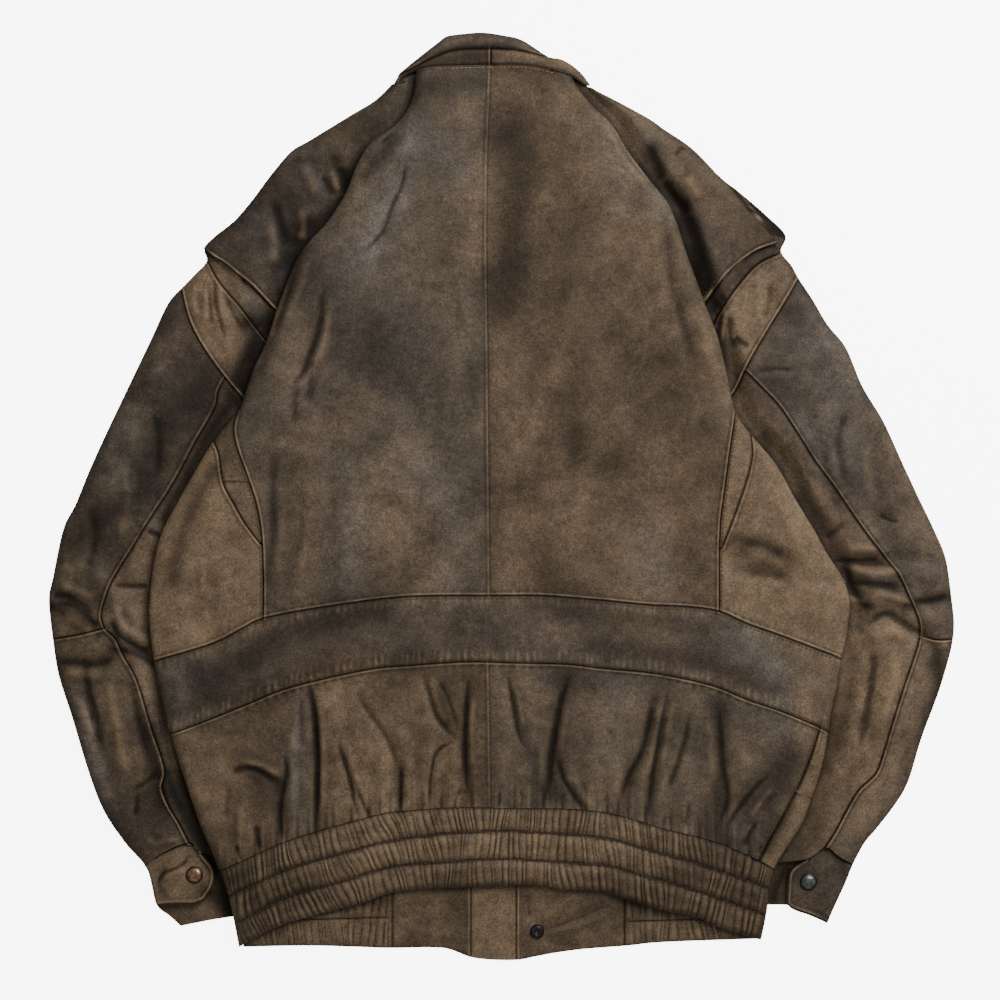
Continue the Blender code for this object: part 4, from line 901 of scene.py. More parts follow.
def cell_area(points):
    """The area of a grid of points, in square metres."""
    across = points[:-1, 1:] - points[:-1, :-1]
    up = points[1:, :-1] - points[:-1, :-1]
    return float(np.linalg.norm(np.cross(across, up), axis=-1).sum()) * MM**2


BLUR_TIMES = 12


def blurred(grid, times):
    for _ in range(times):
        padded = np.pad(grid, 1, mode="edge")
        grid = (padded[:-2, 1:-1] + padded[2:, 1:-1] + padded[1:-1, :-2] + padded[1:-1, 2:] + 2 * grid) / 6
    return grid


def sheet(name, xy, height, finish, marks, layer=None, gathered=1.0, thickness=None, held="laid"):
    """A thin sheet of leather on a grid of plan points, with its painted marks."""
    layer = layer or new_layer(xy)
    relief = layer["height"]
    height = height + relief
    rows, columns = xy.shape[:2]
    maker = bmesh.new()
    bmesh.ops.create_grid(maker, x_segments=columns - 1, y_segments=rows - 1, size=1.0)
    maker.faces.ensure_lookup_table()
    mesh = mesh_of(maker, name + "_leather")
    co = np.empty(len(mesh.vertices) * 3, np.float32)
    mesh.vertices.foreach_get("co", co)
    co = co.reshape(-1, 3)
    column = np.rint((co[:, 0] + 1) / 2 * (columns - 1)).astype(int)
    row = np.rint((co[:, 1] + 1) / 2 * (rows - 1)).astype(int)
    points = np.dstack((xy, height))
    mesh.vertices.foreach_set("co", place(points[row, column]).astype(np.float32).ravel())
    # The crests of the fine relief are painted paler, partly as worn ridges and partly as painted highlight; its
    # hollows are painted dark as shade.
    fine = relief - blurred(relief, BLUR_TIMES)
    masks = {"crest": np.clip(fine - 0.1, 0, 0.8), "hollow": np.clip(-1.5 * fine - 0.1, 0, 1)}
    masks.update(marks, welt=layer["welt"], groove=layer["groove"])
    for mark, values in masks.items():
        written = mesh.attributes.new(mark, "FLOAT", "POINT")
        written.data.foreach_set("value", np.broadcast_to(values, height.shape)[row, column].astype(np.float32))
    mesh.update()
    if mesh.polygons[len(mesh.polygons) // 2].normal.z < 0:
        mesh.flip_normals()
    mesh.shade_smooth()
    mesh.materials.append(finish)
    made = bpy.data.objects.new(name + "_leather", mesh)
    wall = made.modifiers.new("thickness", "SOLIDIFY")
    wall.thickness = thickness or sizes().leather
    wall.offset = -1
    finish_piece(made)
    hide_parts(name)
    area = cell_area(points) / RELIEF_SHARE
    width = max(length_of(line) for line in (xy[0], xy[rows // 2], xy[-1])) * MM * gathered
    length = max(length_of(line) for line in (xy[:, 0], xy[:, columns // 2], xy[:, -1])) * MM
    area = area * gathered
    width = max(width, WIDTH_SPARE * area / length)
    area = max(area, LEAST_FILL * width * length)


# Marks of wear and of painted light: where the leather has worn tan; where it has gone grey, and where a grey sheen
# is painted on ridges as painted highlight; and where it is darker, both darker leather and painted shade in
# creases, gaps and beside edges. Each is a path in the picture's pixels, a half width in millimetres and a strength.

BODY_TAN = [
    ([(470, 98), (462, 118)], 14, 0.5),
    ([(482, 160), (478, 215), (474, 260)], 14, 0.75),
    ([(450, 200), (430, 240), (440, 300)], 30, 0.3),
    ([(500, 380), (512, 440)], 16, 0.55),
    ([(388, 480), (410, 540), (440, 580)], 34, 0.35),
    ([(612, 150), (640, 230), (650, 300)], 26, 0.3),
    ([(560, 480), (600, 540), (640, 580)], 36, 0.3),
    ([(340, 690), (345, 740), (345, 800)], 26, 0.6),
    ([(380, 760), (410, 790), (440, 770)], 30, 0.45),
    ([(192, 740), (196, 770), (204, 800)], 14, 0.6),
    ([(200, 470), (170, 560), (160, 640)], 18, 0.55),
    ([(225, 530), (230, 580), (245, 610)], 22, 0.5),
    ([(205, 640), (230, 630), (255, 616)], 12, 0.6),
    ([(770, 590), (800, 620), (838, 650)], 26, 0.95),
    ([(745, 470), (770, 500), (800, 545), (820, 590)], 14, 0.6),
    ([(730, 590), (760, 590), (790, 600)], 14, 0.45),
    ([(700, 330), (716, 380), (735, 440)], 12, 0.5),
    ([(806, 700), (800, 770), (775, 840)], 10, 0.7),
    ([(380, 880), (430, 905)], 20, 0.4),
    ([(300, 440), (310, 520), (300, 590)], 18, 0.4),
    ([(360, 500), (370, 560)], 24, 0.5),
    ([(345, 690), (370, 740), (392, 795)], 34, 0.9),
    ([(430, 690), (440, 790)], 24, 0.5),
    ([(250, 905), (330, 862), (420, 832), (500, 826), (600, 840), (720, 880)], 20, 0.6),
    ([(390, 490), (430, 560)], 40, 0.5),
    ([(180, 480), (158, 560), (156, 650)], 6, 0.5),
    ([(520, 690), (600, 720), (690, 700)], 16, 0.35),
    ([(192, 745), (200, 780), (222, 810)], 16, 0.6),
    ([(300, 935), (340, 930), (384, 935)], 18, 0.9),
    ([(640, 935), (680, 930), (720, 935)], 16, 0.5),
    ([(500, 690), (505, 740), (520, 790)], 12, 0.4),
    ([(590, 700), (600, 760), (590, 800)], 14, 0.4),
    ([(400, 845), (490, 845), (590, 855)], 22, 0.7),
    ([(560, 100), (600, 120), (600, 180)], 24, 0.45),
]
# Grey bloom, and painted highlight: a grey sheen is painted along the ridges of folds.
BODY_GREY_AND_SHEEN = [
    ([(302, 700), (304, 760), (302, 825)], 8, 0.5),
    ([(412, 128), (398, 165), (384, 215), (362, 262)], 14, 0.85),
    ([(395, 200), (375, 250), (345, 290)], 20, 0.4),
    ([(425, 150), (455, 165)], 22, 0.4),
    ([(640, 150), (658, 180), (664, 215)], 12, 0.5),
    ([(600, 135), (615, 170), (625, 200)], 16, 0.35),
    ([(400, 320), (405, 400), (395, 470)], 24, 0.3),
    ([(345, 470), (352, 520), (350, 580)], 14, 0.55),
    ([(430, 470), (450, 530), (455, 590)], 22, 0.35),
    ([(650, 540), (655, 580)], 18, 0.45),
    ([(745, 640), (770, 670), (775, 720)], 16, 0.6),
    ([(175, 670), (185, 700)], 8, 0.45),
    ([(295, 740), (294, 800)], 8, 0.5),
    ([(620, 690), (610, 760)], 16, 0.3),
]
# Darker leather, and painted shade: dark is painted along the valleys of creases, below the neck, on the shaded side
# of the body's rolled edge and by the left cuff.
BODY_DARK_AND_SHADE = [
    ([(435, 110), (425, 190)], 30, 0.22),
    ([(590, 645), (690, 660), (770, 690)], 9, 0.4),
    ([(510, 135), (520, 170), (510, 230), (505, 300)], 20, 0.6),
    ([(330, 290), (370, 340), (415, 390)], 30, 0.4),
    ([(388, 92), (430, 88), (480, 84)], 9, 0.5),
    ([(396, 140), (380, 160), (366, 176)], 7, 0.6),
    ([(210, 680), (260, 650), (300, 630), (380, 610)], 15, 0.55),
    ([(215, 700), (270, 690), (330, 670), (420, 655)], 11, 0.5),
    ([(560, 612), (640, 618), (700, 630)], 10, 0.4),
    ([(735, 540), (765, 545), (785, 555)], 9, 0.6),
    ([(735, 568), (762, 568), (785, 575)], 6, 0.5),
    ([(214, 470), (195, 510), (182, 545), (176, 580)], 7, 0.6),
    ([(735, 800), (770, 790), (790, 760)], 15, 0.6),
    ([(780, 820), (765, 845)], 10, 0.5),
    ([(250, 760), (270, 800), (262, 840)], 14, 0.35),
    ([(225, 870), (260, 900), (300, 890)], 22, 0.6),
    ([(240, 930), (250, 900)], 12, 0.4),
    ([(690, 870), (740, 890), (760, 920)], 24, 0.5),
    ([(303, 250), (290, 290), (278, 330), (262, 372)], 5, 0.55),
    ([(560, 395), (575, 440)], 16, 0.35),
    ([(540, 555), (560, 590)], 20, 0.35),
    ([(560, 740), (555, 790)], 9, 0.5),
    ([(468, 700), (466, 760), (470, 800)], 6, 0.5),
    ([(311, 690), (316, 740), (317, 830)], 4, 0.8),
    ([(401, 768), (401, 810)], 5, 0.6),
    ([(566, 680), (553, 730), (545, 800)], 7, 0.6),
    ([(570, 790), (585, 812)], 5, 0.5),
    ([(655, 700), (640, 750), (618, 812)], 6, 0.55),
    ([(664, 720), (652, 780), (646, 822)], 5, 0.6),
    ([(716, 705), (722, 760), (712, 832)], 9, 0.65),
    ([(440, 690), (455, 735)], 5, 0.4),
    ([(517, 690), (528, 750)], 5, 0.4),
    ([(410, 74), (440, 62), (488, 58)], 8, 0.6),
    ([(495, 60), (540, 66), (578, 82)], 8, 0.45),
    ([(280, 780), (283, 830)], 6, 0.6),
    ([(240, 770), (282, 785)], 4, 0.6),
    ([(272, 500), (270, 580)], 6, 0.45),
]
ARM_TAN = {
    "left": [
        ([(196, 270), (205, 300), (222, 325)], 12, 0.5),
        ([(240, 290), (255, 310)], 8, 0.3),
        ([(60, 580), (75, 578)], 5, 0.5),
        ([(168, 540), (150, 590), (140, 630), (150, 690)], 20, 0.9),
        ([(200, 280), (198, 320)], 10, 0.5),
        ([(150, 860), (190, 850), (205, 880)], 16, 0.5),
        ([(80, 640), (100, 700), (125, 770)], 26, 0.5),
        ([(150, 880), (196, 872), (200, 895)], 18, 0.6),
        ([(70, 540), (90, 570)], 20, 0.3),
    ],
    "right": [
        ([(757, 282), (763, 300), (752, 322)], 10, 0.65),
        ([(700, 170), (720, 200), (735, 235)], 22, 0.3),
        ([(875, 420), (900, 480), (930, 540)], 16, 0.45),
        ([(862, 640), (866, 700), (850, 770)], 24, 0.9),
        ([(900, 650), (890, 720), (865, 800)], 32, 0.9),
        ([(880, 640), (900, 650)], 12, 0.3),
        ([(740, 385), (752, 410), (770, 440)], 10, 0.35),
    ],
}
# Grey bloom, and painted highlight: a grey sheen is painted along the ridges of folds.
ARM_GREY_AND_SHEEN = {
    "left": [
        ([(262, 225), (275, 250), (285, 280)], 12, 0.6),
        ([(300, 160), (320, 190)], 16, 0.4),
        ([(130, 430), (125, 470), (135, 500)], 20, 0.35),
        ([(80, 700), (92, 740), (105, 790)], 10, 0.5),
        ([(250, 300), (262, 318)], 7, 0.6),
        ([(118, 620), (128, 640)], 8, 0.45),
        ([(150, 520), (158, 530)], 7, 0.45),
    ],
    "right": [
        ([(650, 140), (655, 165)], 8, 0.5),
        ([(820, 345), (835, 400), (845, 450)], 22, 0.45),
        ([(790, 410), (806, 440)], 12, 0.4),
        ([(706, 235), (720, 265)], 14, 0.3),
        ([(860, 575), (885, 580)], 8, 0.4),
    ],
}
# Darker leather, and painted shade: dark and black are painted where shade falls under the body's edge, in the
# armpits, along the elbows' folds and creases, and by the cuffs.
ARM_DARK_AND_SHADE = {
    "left": [
        ([(336, 160), (346, 190), (330, 215), (305, 235)], 6, 0.9),
        ([(350, 130), (300, 190), (250, 240)], 30, 0.3),
        ([(250, 322), (262, 335), (248, 372)], 10, 1.0),
        ([(308, 222), (298, 240), (288, 262)], 7, 0.9),
        ([(285, 232), (278, 260), (276, 290)], 9, 0.55),
        ([(272, 318), (258, 345), (244, 385)], 13, 1.0),
        ([(262, 352), (246, 375), (236, 396)], 9, 1.0),
        ([(240, 395), (215, 425), (190, 470), (165, 520)], 6, 0.8),
        ([(205, 395), (170, 420), (150, 470)], 14, 0.5),
        ([(60, 610), (85, 622), (98, 632)], 5, 0.7),
        ([(52, 606), (70, 604), (84, 612), (97, 623)], 3.5, 1.0),
        ([(112, 648), (134, 652), (154, 664)], 3, 0.9),
        ([(75, 545), (120, 505), (150, 490)], 12, 0.5),
        ([(60, 660), (95, 660), (125, 650)], 6, 0.5),
        ([(115, 635), (140, 650), (152, 660)], 4, 0.6),
        ([(150, 730), (160, 770), (166, 800)], 9, 0.8),
        ([(168, 775), (178, 800), (196, 838), (212, 866)], 6, 1.0),
        ([(205, 890), (222, 900), (232, 915)], 9, 0.8),
        ([(165, 870), (160, 885), (166, 895)], 3, 0.6),
    ],
    "right": [
        ([(652, 150), (664, 180), (680, 204)], 7, 0.95),
        ([(690, 140), (720, 190), (750, 240)], 34, 0.3),
        ([(830, 380), (870, 470)], 30, 0.25),
        ([(666, 205), (690, 255), (712, 330)], 9, 1.0),
        ([(684, 206), (698, 240), (710, 285), (716, 325)], 8, 1.0),
        ([(722, 300), (716, 320), (724, 352)], 5, 0.85),
        ([(735, 345), (738, 372), (734, 395)], 5, 0.6),
        ([(741, 188), (759, 206), (783, 234)], 9, 1.0),
        ([(790, 262), (808, 284)], 8, 0.6),
        ([(775, 246), (745, 268), (720, 300)], 5, 0.55),
        ([(765, 440), (770, 462), (778, 470)], 8, 0.6),
        ([(800, 500), (818, 530), (836, 565)], 9, 0.7),
        ([(848, 572), (855, 595), (866, 606)], 4, 0.9),
        ([(905, 604), (930, 600), (950, 596)], 5, 0.7),
        ([(925, 630), (935, 650), (938, 700), (925, 740)], 8, 0.65),
        ([(842, 690), (836, 730), (826, 770)], 6, 0.5),
        ([(786, 870), (778, 885), (774, 900)], 6, 0.9),
        ([(900, 500), (880, 520)], 8, 0.3),
        ([(745, 370), (770, 380), (790, 400)], 14, 0.35),
    ],
}


def painted(xy, listed):
    value = np.zeros(xy.shape[:-1])
    for path, width, strength in listed:
        gap = signed_distance(xy, dense(plan(path), 8.0), 3 * width)
        value = 1 - (1 - value) * (1 - strength * bell(gap, width))
    return value


def body_marks(xy):
    return {"tan": painted(xy, BODY_TAN), "grey": painted(xy, BODY_GREY_AND_SHEEN), "dark": painted(xy, BODY_DARK_AND_SHADE)}


BLACK_SHADE_REACH = 8.5


def arm_marks(xy, side):
    """Beside the body's edge the arm is painted dark as shade under that edge, and painted black in the deep shade
    by the armpits and the left cuff.
    """
    outside = np.maximum(-body_depth(xy, side), 0)
    y = xy[..., 1]
    shade_pocket = ease((y - 70) / 50) * ease((340 - y) / 60)
    if side == "left":
        shade_pocket = shade_pocket + ease((-210 - y) / 40)
    # Painted shade: dark close under the body's edge, black in the pockets of shade.
    near = 0.65 * np.exp(-outside / 3.2)
    near = np.maximum(near, 0.97 * shade_pocket * bell(outside, BLACK_SHADE_REACH))
    dark = 1 - (1 - near) * (1 - painted(xy, ARM_DARK_AND_SHADE[side]))
    return {"tan": painted(xy, ARM_TAN[side]), "grey": painted(xy, ARM_GREY_AND_SHEEN[side]), "dark": dark}


# The pieces.


def princess_parts(side):
    curve = dense(PRINCESS_SEAM[side])
    gusset_end = nearest(curve, GUSSET_SEAM[side][-1])
    return between(curve, curve[0], gusset_end), between(curve, gusset_end, curve[-1])


def body_sheet(name, xy, finish, **more):
    sheet(name, xy, body_height(xy), finish, body_marks(xy), body_layer(xy), **more)


def make_back(side):
    neck = dense(NECK)
    edge = dense(BODY_EDGE[side])
    upper, lower = princess_parts(side)
    centre = dense(CENTRE_SEAM)
    top = dense(BAND_TOP)
    shoulder = nearest(neck, edge[0])
    fold = np.vstack((shoulder, between(edge, nearest(edge, shoulder), upper[0])[1:-1], upper[0]))
    outer = joined(fold, upper, lower)
    low = between(top, lower[-1], centre[-1])
    high = between(neck, shoulder, centre[0])
    xy = patch(low, high, outer[::-1], centre[::-1])
    finish = leather("grey_leather" if side == "left" else "brown_leather")
    body_sheet("back_" + side, xy, finish)


def make_side_back(side):
    edge = dense(BODY_EDGE[side])
    band = dense(BAND_TOP)
    gusset_seam = dense(GUSSET_SEAM[side])
    lower = princess_parts(side)[1]
    band_end = band[0] if side == "left" else band[-1]
    first = int(np.argmin(np.linalg.norm(edge - gusset_seam[0], axis=1)))
    fold = between(edge, edge[first + SIDE_BACK_CORNER], band_end)
    inner = joined(gusset_seam, lower)
    low = between(band, band_end, lower[-1])
    high = edge[first : first + SIDE_BACK_CORNER + 1][::-1]
    xy = patch(low, high, fold[::-1], inner[::-1])
    body_sheet("side_back_" + side, xy, leather("tan_leather"))


def make_gusset(side):
    edge = dense(BODY_EDGE[side])
    gusset_seam = dense(GUSSET_SEAM[side])
    upper = princess_parts(side)[0]
    high = between(edge, gusset_seam[0], upper[0])
    low = straight(gusset_seam[-1], upper[-1])
    rows = graded(length_of(upper), GATHER_ROW_PITCH)
    xy = patch(low, high, gusset_seam[::-1], upper[::-1], rows=rows, columns=np.linspace(0, 1, GUSSET_COLUMNS))
    finish = leather("brown_leather" if side == "left" else "tan_leather")
    body_sheet("gusset_" + side, xy, finish)


def across_back(bottom, top, **more):
    """A grid between two curves that run from one edge of the body to the other."""
    left = between(dense(BODY_EDGE["left"]), bottom[0], top[0])
    right = between(dense(BODY_EDGE["right"]), bottom[-1], top[-1])
    return patch(bottom, top, left, right, **more)


def make_waist_band():
    top = dense(BAND_TOP)
    bottom = dense(BAND_BOTTOM)
    xy = across_back(bottom, top)
    layer = body_layer(xy)
    x = xy[..., 0]
    up = signed_distance(xy, bottom)
    streak = np.clip(np.sin(x / 0.85 + 2 * np.sin(x / 13)) * np.sin(x / 7.3 + np.sin(x / 31)), 0, 1)
    down = -signed_distance(xy, top)
    streak = streak * (bell(up - 6, 5.0) + 0.7 * bell(down - 5, 3.5))
    layer["height"] += 0.3 * streak
    strengthen(layer, "welt", 0.5 * streak)
    sheet("waist_band", xy, body_height(xy), leather("grey_leather"), body_marks(xy), layer)


def make_lower_back():
    band = dense(BAND_BOTTOM)
    hem = dense(HEM_TOP)
    centre = dense(LOWER_CENTRE_SEAM)[::-1]
    left = between(dense(BODY_EDGE["left"]), hem[0], band[0])
    right = dense(SIDE_SEAM_RIGHT)[::-1]
    outer = between(dense(BODY_EDGE["right"]), hem[-1], band[-1])
    pitch = sizes().gather_pitch / MM
    for name, low, high, start, end, finish in (
        ("lower_back_left", between(hem, hem[0], centre[0]), between(band, band[0], centre[-1]), left, centre,
         "brown_leather"),
        ("lower_back_right", between(hem, centre[0], right[0]), between(band, centre[-1], right[-1]), centre,
         right, "grey_leather"),
    ):
        xy = patch(low, high, start, end, pitch)
        sheet(
            name, xy, body_height(xy), leather(finish), body_marks(xy), lower_layer(xy), gathered=1.15,
            held="gathered",
        )
    xy = patch(between(hem, right[0], hem[-1]), between(band, right[-1], band[-1]), right, outer)
    body_sheet("side_strip_right", xy, leather("tan_leather"))


HEM_ROWS = {
    "upper": [
        (-241, -343), (-233, -343), (-212, -333.5), (-184, -320), (-153, -310.5), (-126, -304), (-101.5, -297),
        (-77, -293), (-44, -289), (0, -287), (27, -288), (62, -290), (94, -294), (114, -299), (141, -307),
        (167, -314), (193.5, -323), (220, -332), (236, -339),
    ],
    "lower": [
        (-234, -369), (-228, -366), (-209, -357), (-189, -346), (-166, -338), (-135, -330), (-110, -322),
        (-94, -318), (-69, -315), (0, -311), (44, -313), (72, -315), (94, -317), (114, -323), (141, -330),
        (167, -338), (193.5, -347), (211, -353.5), (227, -359), (236, -363),
    ],
}


GATHER_HEIGHT = 1.5
CHANNEL_CROWN = 1.5
ROW_DIP = 0.8
ELASTIC_OVERLAP = 0.9


def gathered_strip(layer, x, lean, middle, seed, strength):
    """Close gathers of uneven width across a strip: a round hump between each two sharp valleys."""
    rng = np.random.RandomState(seed)
    pitch = sizes().hem_gather / MM
    count = int((x.max() - x.min() + 40) / pitch) + 2
    valleys = x.min() - 20 + np.cumsum(pitch * rng.uniform(0.4, 1.65, count))
    tall = rng.uniform(0.3, 1.0, count + 1)
    slant = 0.14 * np.sin(x / 37 + seed) + 0.10 * np.sin(x / 11 + 2 * seed) + lean
    where = x + slant * middle + 0.35 * np.sin(middle / 5.3 + x / 6)
    index = np.clip(np.searchsorted(valleys, where), 1, count - 1)
    width = valleys[index] - valleys[index - 1]
    t = (where - valleys[index - 1]) / width
    hump = 1 - (2 * np.clip(t, 0, 1) - 1) ** 2
    from_valley = np.minimum(t, 1 - t) * width
    layer["height"] += strength * GATHER_HEIGHT * tall[index] * (hump - 0.45)
    # The valleys are painted dark as shade, and the tops of the humps paler, partly as worn leather and partly as
    # painted highlight.
    strengthen(layer, "groove", strength * 0.95 * tall[index] * bell(from_valley, 0.55))
    strengthen(layer, "welt", strength * 0.6 * np.clip(hump * tall[index] - 0.5, 0, 1))


def hem_layer(xy):
    """Three channels, each crowned between its stitched rows, with gathers that differ in each."""
    layer = new_layer(xy)
    rows = [signed_distance(xy, dense(HEM_ROWS[row], 4.0)) for row in ("upper", "lower")]
    top = -signed_distance(xy, dense(HEM_TOP, 4.0))
    bottom = signed_distance(xy, dense(HEM_BOTTOM, 4.0))
    ends = ease(nearest_depth(xy) / 9)
    x = xy[..., 0]
    lean = -0.30 * ease(-(x - 40) / 160) + 0.12 * ease((x - 120) / 100)
    row_gap = np.minimum(np.abs(rows[0]), np.abs(rows[1]))
    edge_gap = np.minimum(top, bottom)
    crown = ease(np.minimum(row_gap, edge_gap) / 7)
    for seed, inside, middle in (
        (51, rows[0] > 0, top - 10), (52, (rows[0] <= 0) & (rows[1] > 0), -rows[0] - 12),
        (53, rows[1] <= 0, 11 - bottom),
    ):
        strip = new_layer(xy)
        gathered_strip(strip, x, lean, middle, seed, (0.45 + 0.55 * crown) * ends)
        for key, value in strip.items():
            layer[key] = np.where(inside, value, layer[key])
    stitched = bell(row_gap, 0.75)
    layer["height"] += CHANNEL_CROWN * crown * ends - ROW_DIP * stitched
    strengthen(layer, "groove", 0.95 * bell(row_gap, 0.9))
    strengthen(layer, "groove", bell(top, 1.2))
    return layer


def make_hem_back():
    columns = np.linspace(0, 1, HEM_COLUMNS)
    xy = across_back(dense(HEM_BOTTOM), dense(HEM_TOP), columns=columns, rows=graded(HEM_DEPTH, GATHER_ROW_PITCH))
    sheet(
        "hem_back", xy, hem_height(xy), leather("brown_leather"), body_marks(xy), hem_layer(xy), gathered=1.4,
        held="gathered",
    )


TAB_CREASES = [
    ([(537, 926), (556, 910), (580, 892)], 1.0, 2.2, True),
    ([(540, 932), (575, 920), (618, 901)], -1.0, 2.0, True),
    ([(538, 934), (575, 927), (615, 912)], 0.8, 2.4),
    ([(536, 936), (560, 945), (590, 946)], -0.8, 2.2, True),
    ([(531, 922), (528, 905), (530, 890)], -0.9, 2.0, True),
    ([(545, 896), (556, 892), (566, 888)], 0.8, 1.8, True),
    ([(400, 908), (430, 905), (462, 912)], -0.7, 4.0),
    ([(425, 945), (440, 935), (460, 932)], 0.7, 3.0),
    ([(395, 925), (420, 930), (460, 944)], 0.6, 4.0),
]


def front_hem_part(name, low, start_x, end_x, gathered, finish):
    high = straight((start_x, FRONT_HEM_TOP_Y), (end_x, FRONT_HEM_TOP_Y))
    start = straight(low[0], (start_x, FRONT_HEM_BEND_Y), high[0])
    end = straight(low[-1], (end_x, FRONT_HEM_BEND_Y), high[-1])
    xy = patch(low, high, start, end, FINE_PITCH)
    above = signed_distance(xy, low)
    height = FRONT_HEM_WALL - 1.2 * np.exp(-np.abs(above) / 1.2)
    layer = new_layer(xy)
    x, y = xy[..., 0], xy[..., 1]
    if gathered:
        row = np.abs(y - FRONT_HEM_BEND_Y - 0.03 * (x - start_x))
        strength = 0.75 * (0.4 + 0.6 * ease(row / 6)) * ease(above / 3)
        gathered_strip(layer, x, 0.1, y - FRONT_HEM_BEND_Y, int(abs(start_x)), strength)
        layer["height"] -= 0.5 * bell(row, 0.8)
        strengthen(layer, "groove", bell(row, 0.8))
    else:
        layer["height"] += creases(xy, TAB_CREASES) + 0.2 * seeded_waves(xy, 14, 71)
        outer = start_x if abs(start_x) > abs(end_x) else end_x
        row = outer - 3.0 * np.sign(outer)
        sew(layer, xy, [(row, -392), (row, -360), (row, -330)], 0, puckers=0.1, groove=0.5)
    sheet(
        name, xy, height, finish, body_marks(xy), layer, gathered=1.35 if gathered else 1.0,
        held="gathered" if gathered else "laid", thickness=1.6 * MM,
    )


def make_front_hem():
    bottom = dense(FRONT_HEM_BOTTOM, 1.0)
    stops = sorted((*ELASTIC_END.values(), *PLACKET_EDGE.values()))
    tab, strip, strip_end, tab_end = (nearest(bottom, (x, FRONT_HEM_LOW_Y)) for x in stops)
    left, right = bottom[0], bottom[-1]
    brown = leather("brown_leather")
    for name, start, end, start_x, end_x, gathered in (
        ("front_hem_left", left, tab, left[0], tab[0] + ELASTIC_OVERLAP, True),
        ("front_tab_left", tab, strip, tab[0], strip[0], False),
        ("front_tab_right", strip_end, tab_end, strip_end[0], tab_end[0], False),
        ("front_hem_right", tab_end, right, tab_end[0] - ELASTIC_OVERLAP, right[0] - FRONT_HEM_INSET, True),
    ):
        front_hem_part(name, between(bottom, start, end), start_x, end_x, gathered, brown)


def make_placket():
    bottom = dense(FRONT_HEM_BOTTOM, 1.0)
    left, right = (nearest(bottom, (PLACKET_EDGE[side], FRONT_HEM_LOW_Y)) for side in SIDES)
    high = straight((left[0], FRONT_TOP_Y), (right[0], FRONT_TOP_Y))
    low = between(bottom, left, right)
    columns = np.linspace(0, 1, PLACKET_COLUMNS)
    xy = patch(low, high, straight(low[0], high[0]), straight(low[-1], high[-1]), HIDDEN_PITCH, columns=columns)
    layer = new_layer(xy)
    layer["height"] += 0.1 * seeded_waves(xy, 20, 75)
    for x, toward in ((left[0] + 1.4, 1), (right[0] - 1.4, -1)):
        sew(layer, xy, [(x, -400), (x, -365), (x, -330)], toward, welt=0.5, worn=0.8, puckers=0.05, groove=0.5)
    height = level(FRONT_HEM_WALL)(xy)
    sheet("placket", xy, height, leather("tan_leather"), body_marks(xy), layer)


def make_front(side):
    edge = dense(BODY_EDGE[side])
    outer = between(edge, at_height(edge, FRONT_TOP_Y), at_height(edge, FRONT_HEM_TOP_Y))
    outer[0, 1] = FRONT_TOP_Y
    outer[-1, 1] = FRONT_HEM_TOP_Y
    bottom = dense(FRONT_HEM_BOTTOM, 1.0)
    inner_x = nearest(bottom, (PLACKET_EDGE[side], FRONT_HEM_LOW_Y))[0]
    low = straight(outer[-1], (inner_x, FRONT_HEM_TOP_Y))
    high = straight(outer[0], (inner_x, FRONT_TOP_Y))
    xy = patch(low, high, outer[::-1], straight(low[-1], high[-1]), FRONT_PITCH)
    sheet("front_" + side, xy, front_height(xy), leather("brown_leather"), body_marks(xy))


CAP_OPENING_EDGE = [(733, 187), (744, 200), (757, 217), (770, 233)]


def tucked_line(side):
    return shifted(dense(BODY_EDGE[side]), INWARD[side] * TUCK)


def tuck_between(side, start, end):
    found = between(tucked_line(side), start, end)
    return np.vstack((start, found[1:-1], end))


def outline_between(side, start, end):
    return between(dense(SILHOUETTE[side]), start, end)


def arm_sheet(name, side, low, high, start, end, finish, field=arm_height, piping=None, pitch=None):
    xy = patch(low, high, start, end, pitch)
    layer = arm_layer(xy, side)
    if piping is not None:
        sew(layer, xy, piping, -INWARD[side], welt=0.7, worn=0.9, puckers=0.0, seed=35, groove=0.4)
    sheet(name, xy, field(xy, side), leather(finish), arm_marks(xy, side), layer)


def make_cap(side):
    outline = dense(SILHOUETTE[side]) if side == "left" else dense(CAP_OUTER_RIGHT)
    edge = dense(CAP_EDGE[side])
    neck = dense(NECK)
    outer_top = neck[0] if side == "left" else neck[-1]
    inner_top = at_height(tucked_line(side), CAP_TOP_Y) + (0, 6)
    under_collar = straight(inner_top, *CAP_UNDER_COLLAR[side])
    high = np.vstack((under_collar[-1], outer_top, between(outline, outline[0], edge[0])))
    low = tuck_between(side, inner_top, edge[-1])
    finish = "dark_leather" if side == "left" else "brown_leather"
    arm_sheet("shoulder_cap_" + side, side, low, high, under_collar, edge[::-1], finish, cap_height)


def armhole_parts(side):
    armhole = dense(ARMHOLE[side])
    seam_top = nearest(armhole, SLEEVE_SEAM[side][0])
    return between(armhole, armhole[0], seam_top), between(armhole, seam_top, armhole[-1])


def make_sleeve_top(side):
    head_top = dense(HEAD_TOP[side])
    head_seam = dense(HEAD_SEAM[side])
    armhole = dense(ARMHOLE[side])
    arm_sheet(
        "sleeve_head_" + side, side, head_seam, head_top, straight(head_seam[0], head_top[0]),
        straight(head_seam[-1], head_top[-1]), "brown_leather",
    )
    arm_sheet(
        "sleeve_band_" + side, side, armhole, head_seam, outline_between(side, armhole[0], head_seam[0]),
        tuck_between(side, armhole[-1], head_seam[-1]), "tan_leather",
    )


